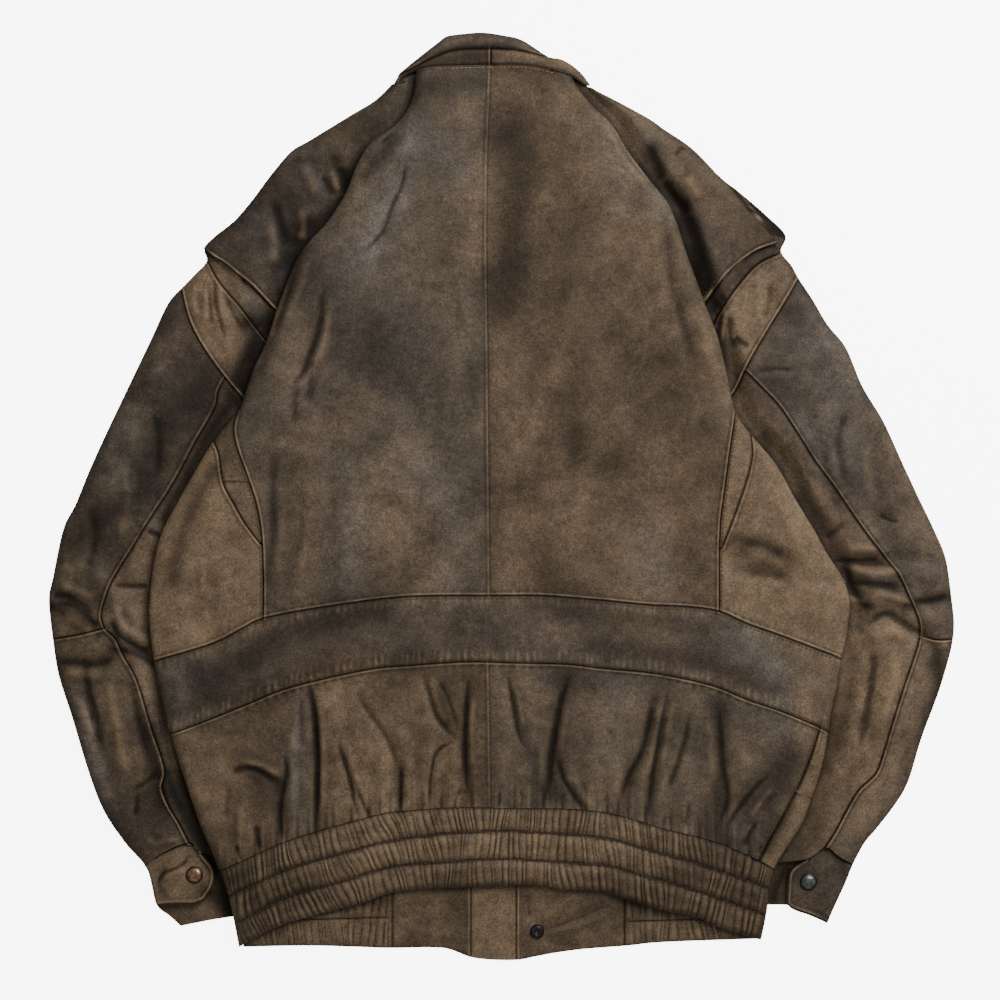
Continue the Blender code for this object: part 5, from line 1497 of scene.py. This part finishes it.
def make_sleeve(side):
    outer_armhole, inner_armhole = armhole_parts(side)
    curve = dense(SLEEVE_SEAM[side])
    curve[0] = inner_armhole[0]
    crossing = nearest(curve, ELBOW_ON_SLEEVE_SEAM[side])
    elbow = dense(ELBOW[side])
    elbow[-1] = crossing
    cuff = dense(CUFF_SEAM[side])
    corner = nearest(cuff, curve[-1])
    curve[-1] = corner
    upper = between(curve, crossing, curve[0])
    lower = between(curve, corner, crossing)
    outer_finish = "dark_leather" if side == "left" else "grey_leather"
    arm_sheet(
        "sleeve_outer_" + side, side, elbow, outer_armhole, outline_between(side, elbow[0], outer_armhole[0]), upper,
        outer_finish,
    )
    arm_sheet(
        "forearm_outer_" + side, side, between(cuff, cuff[0], corner), elbow,
        outline_between(side, cuff[0], elbow[0]), lower, outer_finish,
    )
    arm_sheet(
        "sleeve_inner_" + side, side, between(cuff, corner, cuff[-1]), inner_armhole, joined(lower, upper),
        tuck_between(side, cuff[-1], inner_armhole[-1]), "brown_leather",
    )


def make_under_arm(side):
    outline = dense(SILHOUETTE[side])
    armhole = straight(*(ARMHOLE[side][end] for end in (0, -1)))
    cuff = straight(*(CUFF_SEAM[side][end] for end in (0, -1)))
    inner_top = at_height(tucked_line(side), UNDER_ARM_TOP_Y)
    for name, low, high in (
        ("front_yoke_", armhole, straight(outline[0], inner_top)),
        ("under_sleeve_", cuff, armhole),
    ):
        pitch = OPENING_PITCH if name + side == "front_yoke_right" else HIDDEN_PITCH
        xy = patch(low, high, outline_between(side, low[0], high[0]), tuck_between(side, low[-1], high[-1]), pitch)
        layer = new_layer(xy)
        if name + side == "front_yoke_right":
            sew(layer, xy, plan(CAP_OPENING_EDGE), 1, welt=0.4, worn=0.75, puckers=0.0, groove=0.2)
        height = level(FLOOR_TOP)(xy)
        sheet(name + side, xy, height, leather("brown_leather"), arm_marks(xy, side), layer)


def make_cuff(side):
    seam_curve = dense(CUFF_SEAM[side])
    tip = dense(CUFF_TIP[side])
    bottom = dense(CUFF_BOTTOM[side])
    top = between(seam_curve, seam_curve[0], tip[0]) - (0, 1.5)
    tip[0] = top[-1]
    finish = "tan_leather" if side == "left" else "dark_leather"
    arm_sheet(
        "cuff_" + side, side, bottom, top, outline_between(side, bottom[0], top[0]), tip[::-1], finish, cuff_height,
        piping=shifted(joined(dense(CUFF_TIP[side]), bottom[::-1]), -1.2 * INWARD[side]), pitch=FINE_PITCH,
    )
    under = dense(CUFF_UNDER_BOTTOM[side])
    flat_seam = straight(seam_curve[0], seam_curve[-1])
    outer = np.vstack((under[:1], outline_between(side, under[0], seam_curve[0])[1:]))
    xy = patch(under, flat_seam, outer, straight(under[-1], seam_curve[-1]), UNDER_PITCH)
    height = level(FLOOR_TOP)(xy)
    sheet("cuff_under_" + side, xy, height, leather("brown_leather"), arm_marks(xy, side))


def collar_layer(xy):
    """The stand and fall: their seam, the join at the centre, and the gap above the neck, painted dark as shade."""
    layer = new_layer(xy)
    layer["height"] += 0.12 * seeded_waves(xy, 12, 81)
    sew(layer, xy, COLLAR_SEAM, 1, welt=0.4, worn=0.5, puckers=0.1, seed=61)
    sew(layer, xy, [(-8, 370), (-8, 377), (-8, 384)], 1, welt=0.3, worn=0.6, puckers=0.0, seed=62)
    # Painted shade: the gap above the neck is painted dark, over a shallow dip.
    gap = np.abs(signed_distance(xy, dense(NECK, 3.0)))
    strengthen(layer, "groove", bell(gap, 2.2))
    layer["height"] -= 1.2 * bell(gap, 2.0)
    return layer


def make_collar():
    neck = dense(NECK, 1.0)
    top_seam = dense(COLLAR_SEAM, 1.0)
    top = dense(COLLAR_TOP, 1.0)
    right_top = dense(STAND_RIGHT_TOP, 1.0)
    centre = straight(nearest(neck, (-8, 370)), nearest(top_seam, (-8, 384)))
    seam_left = between(top_seam, top_seam[0], centre[1])
    stand_top = between(right_top, right_top[0], right_top[-1])
    stand_top[0] = centre[1]
    for name, low, high, start, end, finish in (
        ("collar_stand_left", between(neck, neck[0], centre[0]), seam_left, straight(neck[0], top_seam[0]), centre,
         "brown_leather"),
        ("collar_stand_right", between(neck, centre[0], neck[-1]), stand_top, centre,
         straight(neck[-1], right_top[-1]), "tan_leather"),
        ("collar_fall", top_seam, top, straight(top_seam[0], top[0]), straight(top_seam[-1], top[-1]),
         "grey_leather"),
    ):
        xy = patch(low, high, start, end, FINE_PITCH)
        sheet(name, xy, collar_height(xy), leather(finish), body_marks(xy), collar_layer(xy))
    low = dense(COLLAR_UNDER, 1.0)
    edge = dense(COLLAR_TOP[1:] + STAND_RIGHT_TOP[3:5], 1.0)
    xy = patch(low, edge, straight(low[0], edge[0]), straight(low[-1], edge[-1]), UNDER_PITCH)
    height = level(FLOOR_TOP)(xy)
    sheet("collar_front", xy, height, leather("brown_leather"), body_marks(xy))


def make_cap_tab():
    a, b, c, d = (np.array(corner, float) for corner in CAP_TAB)
    xy = patch(straight(d, c), straight(a, b), straight(d, a), straight(c, b), TAB_PITCH)
    sheet("cap_tab_right", xy, level(CAP_TAB_TOP)(xy), leather("dark_leather"), body_marks(xy))


CUFF_SNAP_PROFILE = [
    (0, 0), (7.2, 0), (7.3, 0.4), (7.1, 0.9), (6.7, 1.2), (6.2, 1.25), (5.9, 1.5), (5.4, 2.1), (4.4, 2.7),
    (3.0, 3.05), (1.5, 3.18), (0, 3.2),
]
HEM_SNAP_PROFILE = [
    (0, 0), (5.9, 0), (6.0, 0.5), (5.8, 1.1), (5.2, 1.7), (4.4, 2.3), (3.4, 2.4), (2.6, 2.3), (2.1, 1.8),
    (1.8, 0.9), (0, 0.9),
]
SNAP_SEGMENTS = 48


def turned(name, node, profile, finish):
    """A round metal piece: the profile is radius and height above its seat, from outside to the axis."""
    low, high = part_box(node)
    centre = ((low[0] + high[0]) / 2, (low[1] + high[1]) / 2, low[2])
    maker = bmesh.new()
    verts = [maker.verts.new((centre[0] + r * MM, centre[1], centre[2] + h * MM)) for r, h in profile]
    edges = [maker.edges.new(pair) for pair in zip(verts, verts[1:])]
    bmesh.ops.spin(
        maker, geom=verts + edges, cent=centre, axis=(0, 0, 1), angle=2 * np.pi, steps=SNAP_SEGMENTS, use_merge=True,
        use_duplicate=False,
    )
    bmesh.ops.remove_doubles(maker, verts=maker.verts[:], dist=0.00001)
    bmesh.ops.recalc_face_normals(maker, faces=maker.faces[:])
    mesh = mesh_of(maker, name)
    mesh.shade_smooth()
    widest = max(r for r, _ in profile) * MM
    from_axis = [((v.co.x - centre[0]) ** 2 + (v.co.y - centre[1]) ** 2) ** 0.5 for v in mesh.vertices]
    rim = mesh.attributes.new("rim", "FLOAT", "POINT")
    rim.data.foreach_set("value", [ease(radius / widest * 8 - 6) for radius in from_axis])
    mesh.materials.append(finish)
    made = bpy.data.objects.new(name, mesh)
    finish_piece(made)
    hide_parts(node)


STITCH = 2.4
STITCH_PITCH = 3.6
STITCH_WIDTH = 0.7
STITCH_LIFT = 0.1
HEM_ROW_DEPTH = -0.4


def body_top(xy):
    return body_height(xy) + body_layer(xy)["height"]


def arm_top(side, field=arm_height):
    return lambda xy: field(xy, side) + arm_layer(xy, side)["height"]


def stitch_rows():
    """The rows of stitches, each a curve in plan with the height of the leather under it."""
    hem = [(dense(HEM_ROWS[row])[6:-6], lambda xy: hem_height(xy) + HEM_ROW_DEPTH) for row in ("upper", "lower")]
    band = [(shifted(dense(curve), away)[4:-4], body_top) for curve, away in ((BAND_TOP, -2.6), (BAND_BOTTOM, 2.4))]
    dark = hem + band + [(shifted(dense(SIDE_SEAM_RIGHT), -2.4), body_top)]
    pale = [(shifted(dense(NECK), -2.2)[18:-14], body_top)]
    for side in SIDES:
        out = -INWARD[side]
        dark.append((shifted(dense(PRINCESS_SEAM[side]), -2.4 * INWARD[side])[2:], body_top))
        dark.append((shifted(dense(CAP_EDGE[side]), -4.2 * out)[3:-3], arm_top(side, cap_height)))
        dark.append((shifted(dense(ARMHOLE[side]), 2.6 * out)[2:-12], arm_top(side)))
        dark.append((shifted(dense(SLEEVE_SEAM[side]), 2.8 * out)[6:-8], arm_top(side)))
        dark.append((shifted(dense(CUFF_TIP[side]), -3.6 * INWARD[side])[1:], arm_top(side, cuff_height)))
    for x in (PLACKET_EDGE["left"] + 4.2, PLACKET_EDGE["right"] - 4.2):
        pale.append((straight((x, -396), (x, -341)), level(FRONT_HEM_WALL)))
    return {"dark": dark, "pale": pale}


def make_stitches(name, rows, finish):
    """Short threads laid end to end along rows in plan, each on the leather under it."""
    maker = bmesh.new()
    for curve, top in rows:
        length = length_of(curve)
        count = int(length / STITCH_PITCH)
        at = (np.arange(count) + 0.5) / count
        reach = 0.5 * STITCH / length
        ends = [spaced(curve, at + step) for step in (-reach, reach)]
        ends = [np.column_stack((xy, top(xy[None])[0] + STITCH_LIFT)) for xy in ends]
        for a, b in zip(place(ends[0]), place(ends[1])):
            along = mathutils.Vector(b - a)
            turn = along.to_track_quat("X", "Z").to_matrix().to_4x4()
            size = mathutils.Matrix.Diagonal((along.length, STITCH_WIDTH * MM, 0.6 * STITCH_WIDTH * MM, 1))
            bmesh.ops.create_cube(
                maker, size=1.0, matrix=mathutils.Matrix.Translation((a + b) / 2) @ turn @ size
            )
    mesh = mesh_of(maker, name)
    mesh.materials.append(finish)
    finish_piece(bpy.data.objects.new(name, mesh))


# Finishes.


def group_socket(group, name, direction, kind):
    group.interface.new_socket(name=name, in_out=direction, socket_type=kind)


def link(tree, source, target):
    tree.links.new(source, target)


def node_of(tree, kind, **settings):
    made = tree.nodes.new(kind)
    for key, value in settings.items():
        if key in made.inputs:
            made.inputs[key].default_value = value
        else:
            setattr(made, key, value)
    return made


def attribute(tree, name):
    return node_of(tree, "ShaderNodeAttribute", attribute_name=name).outputs["Fac"]


def object_place(tree):
    return tree.nodes.new("ShaderNodeTexCoord").outputs["Object"]


def noise(tree, where, scale, detail=3.0, roughness=0.55, distortion=0.0):
    made = node_of(
        tree, "ShaderNodeTexNoise", Scale=scale, Detail=detail, Roughness=roughness, Distortion=distortion
    )
    link(tree, where, made.inputs["Vector"])
    return made.outputs["Fac"]


def remap(tree, value, low, high, to_low=0.0, to_high=1.0):
    made = node_of(tree, "ShaderNodeMapRange")
    for key, number in (("From Min", low), ("From Max", high), ("To Min", to_low), ("To Max", to_high)):
        made.inputs[key].default_value = number
    link(tree, value, made.inputs["Value"])
    return made.outputs["Result"]


def math(tree, operation, a, b):
    made = node_of(tree, "ShaderNodeMath", operation=operation)
    for socket, value in zip(made.inputs, (a, b)):
        if isinstance(value, (int, float)):
            socket.default_value = value
        else:
            link(tree, value, socket)
    return made.outputs[0]


def times(tree, a, b):
    return math(tree, "MULTIPLY", a, b)


def mixed(tree, factor, a, b, blend="MIX"):
    made = node_of(tree, "ShaderNodeMix", data_type="RGBA", blend_type=blend)
    for socket, value in ((made.inputs[0], factor), (made.inputs[6], a), (made.inputs[7], b)):
        if isinstance(value, (int, float, tuple)):
            socket.default_value = value
        else:
            link(tree, value, socket)
    return made.outputs[2]


# Each is named after the mesh's own attribute: the tan, grey and dark marks, the crests and hollows of the relief,
# the welts and the grooves. The grey marks are partly painted sheen, the dark marks partly painted shade, the
# hollows painted shade and the crests partly painted highlight.
MARK_SOCKETS = ("Tan mark", "Grey mark", "Dark mark", "Crest", "Hollow", "Welt", "Groove")
GRAIN_STRENGTH = 0.45
GRAIN_DEPTH = 0.0004
LEATHER_SPECULAR = 0.1


def worn_tone_group():
    """Worn leather's colour: blotches, specks, and the tan, grey and dark marks, with painted light: a grey sheen
    and paler crests as painted highlight, and dark hollows, marks and grooves as painted shade.
    """
    name = "Worn leather tone"
    if name in bpy.data.node_groups:
        return bpy.data.node_groups[name]
    group = bpy.data.node_groups.new(name, "ShaderNodeTree")
    for key in ("Base", "Tan", "Grey", "Dark", "Worn"):
        group_socket(group, key, "INPUT", "NodeSocketColor")
    for key in MARK_SOCKETS:
        group_socket(group, key, "INPUT", "NodeSocketFloat")
    group_socket(group, "Colour", "OUTPUT", "NodeSocketColor")
    group_socket(group, "Roughness", "OUTPUT", "NodeSocketFloat")
    given = group.nodes.new("NodeGroupInput")
    out = group.nodes.new("NodeGroupOutput")
    where = object_place(group)
    blotch = noise(group, where, 11.0, 6.0, 0.68)
    patchy = noise(group, where, 48.0, 6.0, 0.7)
    fine = noise(group, where, 230.0, 4.0, 0.7)
    speck = noise(group, where, 620.0, 2.0, 0.8)
    colour = mixed(group, remap(group, blotch, 0.5, 0.72, 0.0, 0.75), given.outputs["Base"], given.outputs["Tan"])
    colour = mixed(group, remap(group, blotch, 0.49, 0.32, 0.0, 0.5), colour, given.outputs["Dark"])
    # Tan is worn leather; grey is grey bloom and painted sheen; dark is darker leather and painted shade.
    for mark, low, high, least in (("Tan", 0.3, 0.62, 0.5), ("Grey", 0.3, 0.6, 0.5), ("Dark", 0.2, 0.5, 0.8)):
        strength = times(group, given.outputs[mark + " mark"], remap(group, patchy, low, high, least, 1.0))
        colour = mixed(group, strength, colour, given.outputs[mark])
    for detail, low, high, least, most in (
        (patchy, 0.3, 0.7, 0.68, 1.34), (fine, 0.3, 0.7, 0.84, 1.2), (speck, 0.35, 0.68, 0.68, 1.42),
    ):
        colour = mixed(group, 1.0, colour, remap(group, detail, low, high, least, most), "MULTIPLY")
    # Crests are painted paler, partly as worn ridges and partly as painted highlight.
    crest = times(group, given.outputs["Crest"], remap(group, patchy, 0.35, 0.6, 0.3, 1.0))
    colour = mixed(group, times(group, crest, 0.38), colour, given.outputs["Worn"])
    # Hollows are painted dark as shade.
    hollow = times(group, given.outputs["Hollow"], 0.72)
    colour = mixed(group, hollow, colour, given.outputs["Dark"])
    # Grooves are dark seams, and painted shade in the valleys of gathers and in the gap above the neck.
    colour = mixed(group, times(group, given.outputs["Groove"], 0.9), colour, given.outputs["Dark"])
    rubbed = remap(group, patchy, 0.36, 0.6, 0.2, 1.0)
    rubbed = times(group, rubbed, remap(group, fine, 0.3, 0.6, 0.55, 1.0))
    worn = times(group, given.outputs["Welt"], rubbed)
    colour = mixed(group, worn, colour, given.outputs["Worn"])
    flecks = times(group, remap(group, speck, 0.66, 0.72), remap(group, patchy, 0.56, 0.66))
    flecks = times(group, flecks, remap(group, blotch, 0.5, 0.6, 0.0, 0.5))
    colour = mixed(group, flecks, colour, given.outputs["Worn"])
    link(group, colour, out.inputs["Colour"])
    rough = remap(group, patchy, 0.3, 0.7, 0.46, 0.64)
    rough = math(group, "ADD", rough, times(group, given.outputs["Hollow"], 0.15))
    link(group, rough, out.inputs["Roughness"])
    return group


def leather_grain_group():
    """The height of leather's fine grain: small cells, pores and soft wrinkles."""
    name = "Leather grain"
    if name in bpy.data.node_groups:
        return bpy.data.node_groups[name]
    group = bpy.data.node_groups.new(name, "ShaderNodeTree")
    group_socket(group, "Height", "OUTPUT", "NodeSocketFloat")
    out = group.nodes.new("NodeGroupOutput")
    where = object_place(group)
    cells = node_of(group, "ShaderNodeTexVoronoi", feature="F1")
    cells.inputs["Scale"].default_value = 620.0
    link(group, where, cells.inputs["Vector"])
    fine = noise(group, where, 420.0, 4.0, 0.6)
    soft = noise(group, where, 110.0, 3.0, 0.5, 0.6)
    height = times(group, cells.outputs["Distance"], 0.35)
    height = math(group, "ADD", height, times(group, fine, 0.6))
    height = math(group, "ADD", height, times(group, soft, 1.6))
    link(group, height, out.inputs["Height"])
    return group


def principled(name):
    material = bpy.data.materials.new(name)
    material.use_nodes = True
    tree = material.node_tree
    return material, tree, tree.nodes["Principled BSDF"]


def leather(slot):
    """The worn leather of one of the record's finishes."""
    name = "worn_" + slot
    if name in bpy.data.materials:
        return bpy.data.materials[name]
    material, tree, shader = principled(name)
    material["slot"] = slot
    chosen = colours()
    tone = tree.nodes.new("ShaderNodeGroup")
    tone.node_tree = worn_tone_group()
    base = {
        "brown_leather": chosen.brown, "grey_leather": chosen.grey, "tan_leather": chosen.tan,
        "dark_leather": chosen.deep,
    }[slot]
    for key, colour in (
        ("Base", base), ("Tan", chosen.tan), ("Grey", chosen.sheen), ("Dark", chosen.dark), ("Worn", chosen.worn),
    ):
        tone.inputs[key].default_value = (*colour, 1.0)
    for key in MARK_SOCKETS:
        link(tree, attribute(tree, key.split()[0].lower()), tone.inputs[key])
    grain = tree.nodes.new("ShaderNodeGroup")
    grain.node_tree = leather_grain_group()
    bump = tree.nodes.new("ShaderNodeBump")
    bump.inputs["Strength"].default_value = GRAIN_STRENGTH
    bump.inputs["Distance"].default_value = GRAIN_DEPTH
    link(tree, grain.outputs["Height"], bump.inputs["Height"])
    link(tree, tone.outputs["Colour"], shader.inputs["Base Color"])
    link(tree, tone.outputs["Roughness"], shader.inputs["Roughness"])
    link(tree, bump.outputs["Normal"], shader.inputs["Normal"])
    shader.inputs["Specular IOR Level"].default_value = LEATHER_SPECULAR
    return material


def metal(slot, colour):
    name = "snap_" + slot
    if name in bpy.data.materials:
        return bpy.data.materials[name]
    material, tree, shader = principled(name)
    material["slot"] = slot
    where = object_place(tree)
    tarnish = remap(tree, noise(tree, where, 320.0, 4.0, 0.6), 0.4, 0.62)
    dull = tuple(0.35 * value for value in colour)
    face = mixed(tree, tarnish, (*dull, 1.0), (*colour, 1.0))
    link(tree, mixed(tree, attribute(tree, "rim"), face, (0.02, 0.018, 0.016, 1.0)), shader.inputs["Base Color"])
    link(tree, remap(tree, tarnish, 0.0, 1.0, 0.55, 0.32), shader.inputs["Roughness"])
    shader.inputs["Metallic"].default_value = 0.9
    return material


def thread(name, colour):
    material, tree, shader = principled(name)
    where = object_place(tree)
    worn = remap(tree, noise(tree, where, 160.0), 0.3, 0.7, 0.6, 1.4)
    link(tree, mixed(tree, 1.0, (*colour, 1.0), worn, "MULTIPLY"), shader.inputs["Base Color"])
    shader.inputs["Roughness"].default_value = 0.8
    shader.inputs["Specular IOR Level"].default_value = 0.2
    return material


# The stage, in metres. The sensor's width is in millimetres.

KEY_AT = (0.85, 1.0, 1.3)
KEY_SIZE = (1.1, 1.1)
CAMERA_SHIFT = -0.003
SENSOR_WIDTH = 36.0


def area_light(name, at, size, power, aim):
    data = bpy.data.lights.new(name, "AREA")
    data.shape = "RECTANGLE"
    data.size, data.size_y = size
    data.energy = power
    made = bpy.data.objects.new(name, data)
    made.location = at
    made.rotation_mode = "QUATERNION"
    direction = mathutils.Vector(aim) - mathutils.Vector(at)
    made.rotation_quaternion = direction.to_track_quat("-Z", "Y")
    bpy.context.scene.collection.objects.link(made)


def make_stage():
    stage = bpy.context.scene.blouson_stage
    maker = bmesh.new()
    bmesh.ops.create_grid(maker, x_segments=1, y_segments=1, size=stage.floor_size / 2)
    mesh = mesh_of(maker, "floor")
    material, tree, shader = principled("pale_floor")
    where = object_place(tree)
    paper = remap(tree, noise(tree, where, 300.0), 0.3, 0.7, 0.99, 1.01)
    link(tree, mixed(tree, 1.0, (*stage.floor_colour, 1.0), paper, "MULTIPLY"), shader.inputs["Base Color"])
    shader.inputs["Roughness"].default_value = 0.95
    shader.inputs["Specular IOR Level"].default_value = 0.1
    shader.inputs["Emission Color"].default_value = (1.0, 1.0, 1.0, 1.0)
    shader.inputs["Emission Strength"].default_value = stage.floor_glow
    mesh.materials.append(material)
    floor = bpy.data.objects.new("floor", mesh)
    floor.visible_diffuse = False
    floor.visible_glossy = False
    bpy.context.scene.collection.objects.link(floor)
    world = bpy.data.worlds.new("studio")
    bpy.context.scene.world = world
    world.use_nodes = True
    world.node_tree.nodes["Background"].inputs["Color"].default_value = (1.0, 1.0, 1.0, 1.0)
    world.node_tree.nodes["Background"].inputs["Strength"].default_value = stage.fill
    area_light("key", KEY_AT, KEY_SIZE, stage.key_power, (0, 0, 0))
    data = bpy.data.cameras.new("camera")
    data.lens = stage.lens
    data.sensor_width = SENSOR_WIDTH
    camera = bpy.data.objects.new("camera", data)
    camera.location = (-MIDDLE[0] * MM, CAMERA_SHIFT - MIDDLE[1] * MM, stage.camera_height)
    bpy.context.scene.collection.objects.link(camera)
    bpy.context.scene.camera = camera


# The add-on's layout.


class BlousonSizes(bpy.types.PropertyGroup):
    leather: bpy.props.FloatProperty(
        name="Leather", description="Thickness of the leather", default=0.0013, min=0.0005, unit="LENGTH"
    )
    pitch: bpy.props.FloatProperty(
        name="Mesh pitch", description="Distance between the points of a panel's mesh", default=0.0020, min=0.001,
        unit="LENGTH",
    )
    gather_pitch: bpy.props.FloatProperty(
        name="Gathered pitch", description="Distance between the points of a gathered panel", default=0.0014,
        min=0.001, unit="LENGTH",
    )
    hem_gather: bpy.props.FloatProperty(
        name="Hem gather", description="Distance from one gather of the hem to the next", default=0.0047,
        min=0.002, unit="LENGTH",
    )


def colour_property(name, description, default):
    return bpy.props.FloatVectorProperty(
        name=name, description=description, default=default, subtype="COLOR", min=0.0, max=1.0
    )


class BlousonColours(bpy.types.PropertyGroup):
    brown: colour_property("Brown", "Leather of the main panels", (0.071, 0.050, 0.032))
    grey: colour_property("Grey brown", "Leather that has gone grey", (0.065, 0.050, 0.037))
    tan: colour_property("Tan", "Leather worn to its own colour", (0.138, 0.096, 0.059))
    deep: colour_property("Dark brown", "Leather of the darkest panels", (0.046, 0.035, 0.025))
    # Grime colour, and the colour of painted shade in creases, hollows, grooves and beside the body's edge.
    dark: colour_property("Dark", "Leather dark with grime", (0.007, 0.0048, 0.003))
    # Grey bloom, and the colour of the sheen painted on ridges as painted highlight.
    sheen: colour_property("Grey sheen", "The grey bloom on rubbed leather", (0.102, 0.088, 0.076))
    # Bare leather on welts, and the colour of crests painted paler, partly as painted highlight.
    worn: colour_property("Worn", "Bare leather on ridges and welts", (0.30, 0.205, 0.115))
    thread: colour_property("Thread", "Thread of most seams", (0.055, 0.038, 0.024))
    pale_thread: colour_property("Pale thread", "Thread of the neck and the placket", (0.20, 0.12, 0.06))
    copper: colour_property("Copper", "Left cuff's snap", (0.36, 0.20, 0.13))
    patina: colour_property("Patina", "Right cuff's snap", (0.16, 0.20, 0.17))
    dark_metal: colour_property("Dark metal", "The hem's snap", (0.06, 0.055, 0.05))


class BlousonStage(bpy.types.PropertyGroup):
    floor_size: bpy.props.FloatProperty(
        name="Floor", description="Side of the square floor", default=6.0, unit="LENGTH"
    )
    floor_colour: colour_property("Floor colour", "Colour of the floor", (0.90, 0.90, 0.90))
    floor_glow: bpy.props.FloatProperty(
        name="Floor glow", description="Light that the floor gives off, as a lit white sweep does", default=7.0
    )
    camera_height: bpy.props.FloatProperty(
        name="Camera height", description="Height of the camera above the floor", default=2.036, unit="LENGTH"
    )
    lens: bpy.props.FloatProperty(
        name="Lens", description="Focal length of the camera", default=85.0, unit="CAMERA"
    )
    fill: bpy.props.FloatProperty(name="Fill", description="Strength of the light from all round", default=0.42)
    key_power: bpy.props.FloatProperty(
        name="Key light", description="Power of the soft main light", default=42.0, unit="POWER"
    )


class BLOUSON_OT_stage(bpy.types.Operator):
    """Make the pale floor, the soft light and the camera"""

    bl_idname = "blouson.stage"
    bl_label = "Stage"

    def execute(self, context):
        make_stage()
        return {"FINISHED"}


class BLOUSON_OT_back(bpy.types.Operator):
    """Make the upper back, the side panels and the underarm gussets"""

    bl_idname = "blouson.back"
    bl_label = "Back panels"

    def execute(self, context):
        for side in SIDES:
            make_back(side)
            make_side_back(side)
            make_gusset(side)
        return {"FINISHED"}


class BLOUSON_OT_lower_back(bpy.types.Operator):
    """Make the waist band and the gathered lower panels"""

    bl_idname = "blouson.lower_back"
    bl_label = "Waist and lower back"

    def execute(self, context):
        make_waist_band()
        make_lower_back()
        return {"FINISHED"}


class BLOUSON_OT_hems(bpy.types.Operator):
    """Make the elastic hem, the front hem with its tabs, and the placket"""

    bl_idname = "blouson.hems"
    bl_label = "Hems"

    def execute(self, context):
        make_hem_back()
        make_front_hem()
        make_placket()
        return {"FINISHED"}


class BLOUSON_OT_sleeves(bpy.types.Operator):
    """Make the shoulder caps, the sleeves and their cuffs"""

    bl_idname = "blouson.sleeves"
    bl_label = "Sleeves"

    def execute(self, context):
        for side in SIDES:
            make_cap(side)
            make_sleeve_top(side)
            make_sleeve(side)
            make_cuff(side)
        make_cap_tab()
        return {"FINISHED"}


class BLOUSON_OT_collar(bpy.types.Operator):
    """Make the collar's stand and fall"""

    bl_idname = "blouson.collar"
    bl_label = "Collar"

    def execute(self, context):
        make_collar()
        return {"FINISHED"}


class BLOUSON_OT_front(bpy.types.Operator):
    """Make the front and the undersides of the arms, which lie on the floor"""

    bl_idname = "blouson.front"
    bl_label = "Front"

    def execute(self, context):
        for side in SIDES:
            make_front(side)
            make_under_arm(side)
        return {"FINISHED"}


class BLOUSON_OT_stitches(bpy.types.Operator):
    """Make the rows of stitches beside the seams"""

    bl_idname = "blouson.stitches"
    bl_label = "Stitches"

    def execute(self, context):
        chosen = colours()
        rows = stitch_rows()
        make_stitches("stitches_dark", rows["dark"], thread("dark_thread", chosen.thread))
        make_stitches("stitches_pale", rows["pale"], thread("pale_thread", chosen.pale_thread))
        return {"FINISHED"}


class BLOUSON_OT_snaps(bpy.types.Operator):
    """Make the snaps of the cuffs and of the hem"""

    bl_idname = "blouson.snaps"
    bl_label = "Snaps"

    def execute(self, context):
        chosen = colours()
        turned("copper_snap", "cuff_snap_left", CUFF_SNAP_PROFILE, metal("copper_snap", chosen.copper))
        turned("patina_snap", "cuff_snap_right", CUFF_SNAP_PROFILE, metal("patina_snap", chosen.patina))
        turned("hem_stud", "hem_snap", HEM_SNAP_PROFILE, metal("dark_snap", chosen.dark_metal))
        return {"FINISHED"}


OPERATORS = (
    BLOUSON_OT_stage, BLOUSON_OT_front, BLOUSON_OT_sleeves, BLOUSON_OT_back, BLOUSON_OT_lower_back,
    BLOUSON_OT_hems, BLOUSON_OT_collar, BLOUSON_OT_stitches, BLOUSON_OT_snaps,
)


class BLOUSON_PT_panel(bpy.types.Panel):
    """The blouson's pieces, in the sidebar of the 3D view"""

    bl_label = "Blouson"
    bl_idname = "BLOUSON_PT_panel"
    bl_space_type = "VIEW_3D"
    bl_region_type = "UI"
    bl_category = "Blouson"

    def draw(self, context):
        for made in OPERATORS:
            self.layout.operator(made.bl_idname)


CLASSES = (BlousonSizes, BlousonColours, BlousonStage, *OPERATORS, BLOUSON_PT_panel)


def register():
    for made in CLASSES:
        bpy.utils.register_class(made)
    bpy.types.Scene.blouson_sizes = bpy.props.PointerProperty(type=BlousonSizes)
    bpy.types.Scene.blouson_colours = bpy.props.PointerProperty(type=BlousonColours)
    bpy.types.Scene.blouson_stage = bpy.props.PointerProperty(type=BlousonStage)


def unregister():
    del bpy.types.Scene.blouson_stage
    del bpy.types.Scene.blouson_colours
    del bpy.types.Scene.blouson_sizes
    for made in reversed(CLASSES):
        bpy.utils.unregister_class(made)


def main():
    register()
    bpy.ops.blouson.stage()
    bpy.ops.blouson.front()
    bpy.ops.blouson.sleeves()
    bpy.ops.blouson.back()
    bpy.ops.blouson.lower_back()
    bpy.ops.blouson.hems()
    bpy.ops.blouson.collar()
    bpy.ops.blouson.stitches()
    bpy.ops.blouson.snaps()


if __name__ == "__main__":
    main()
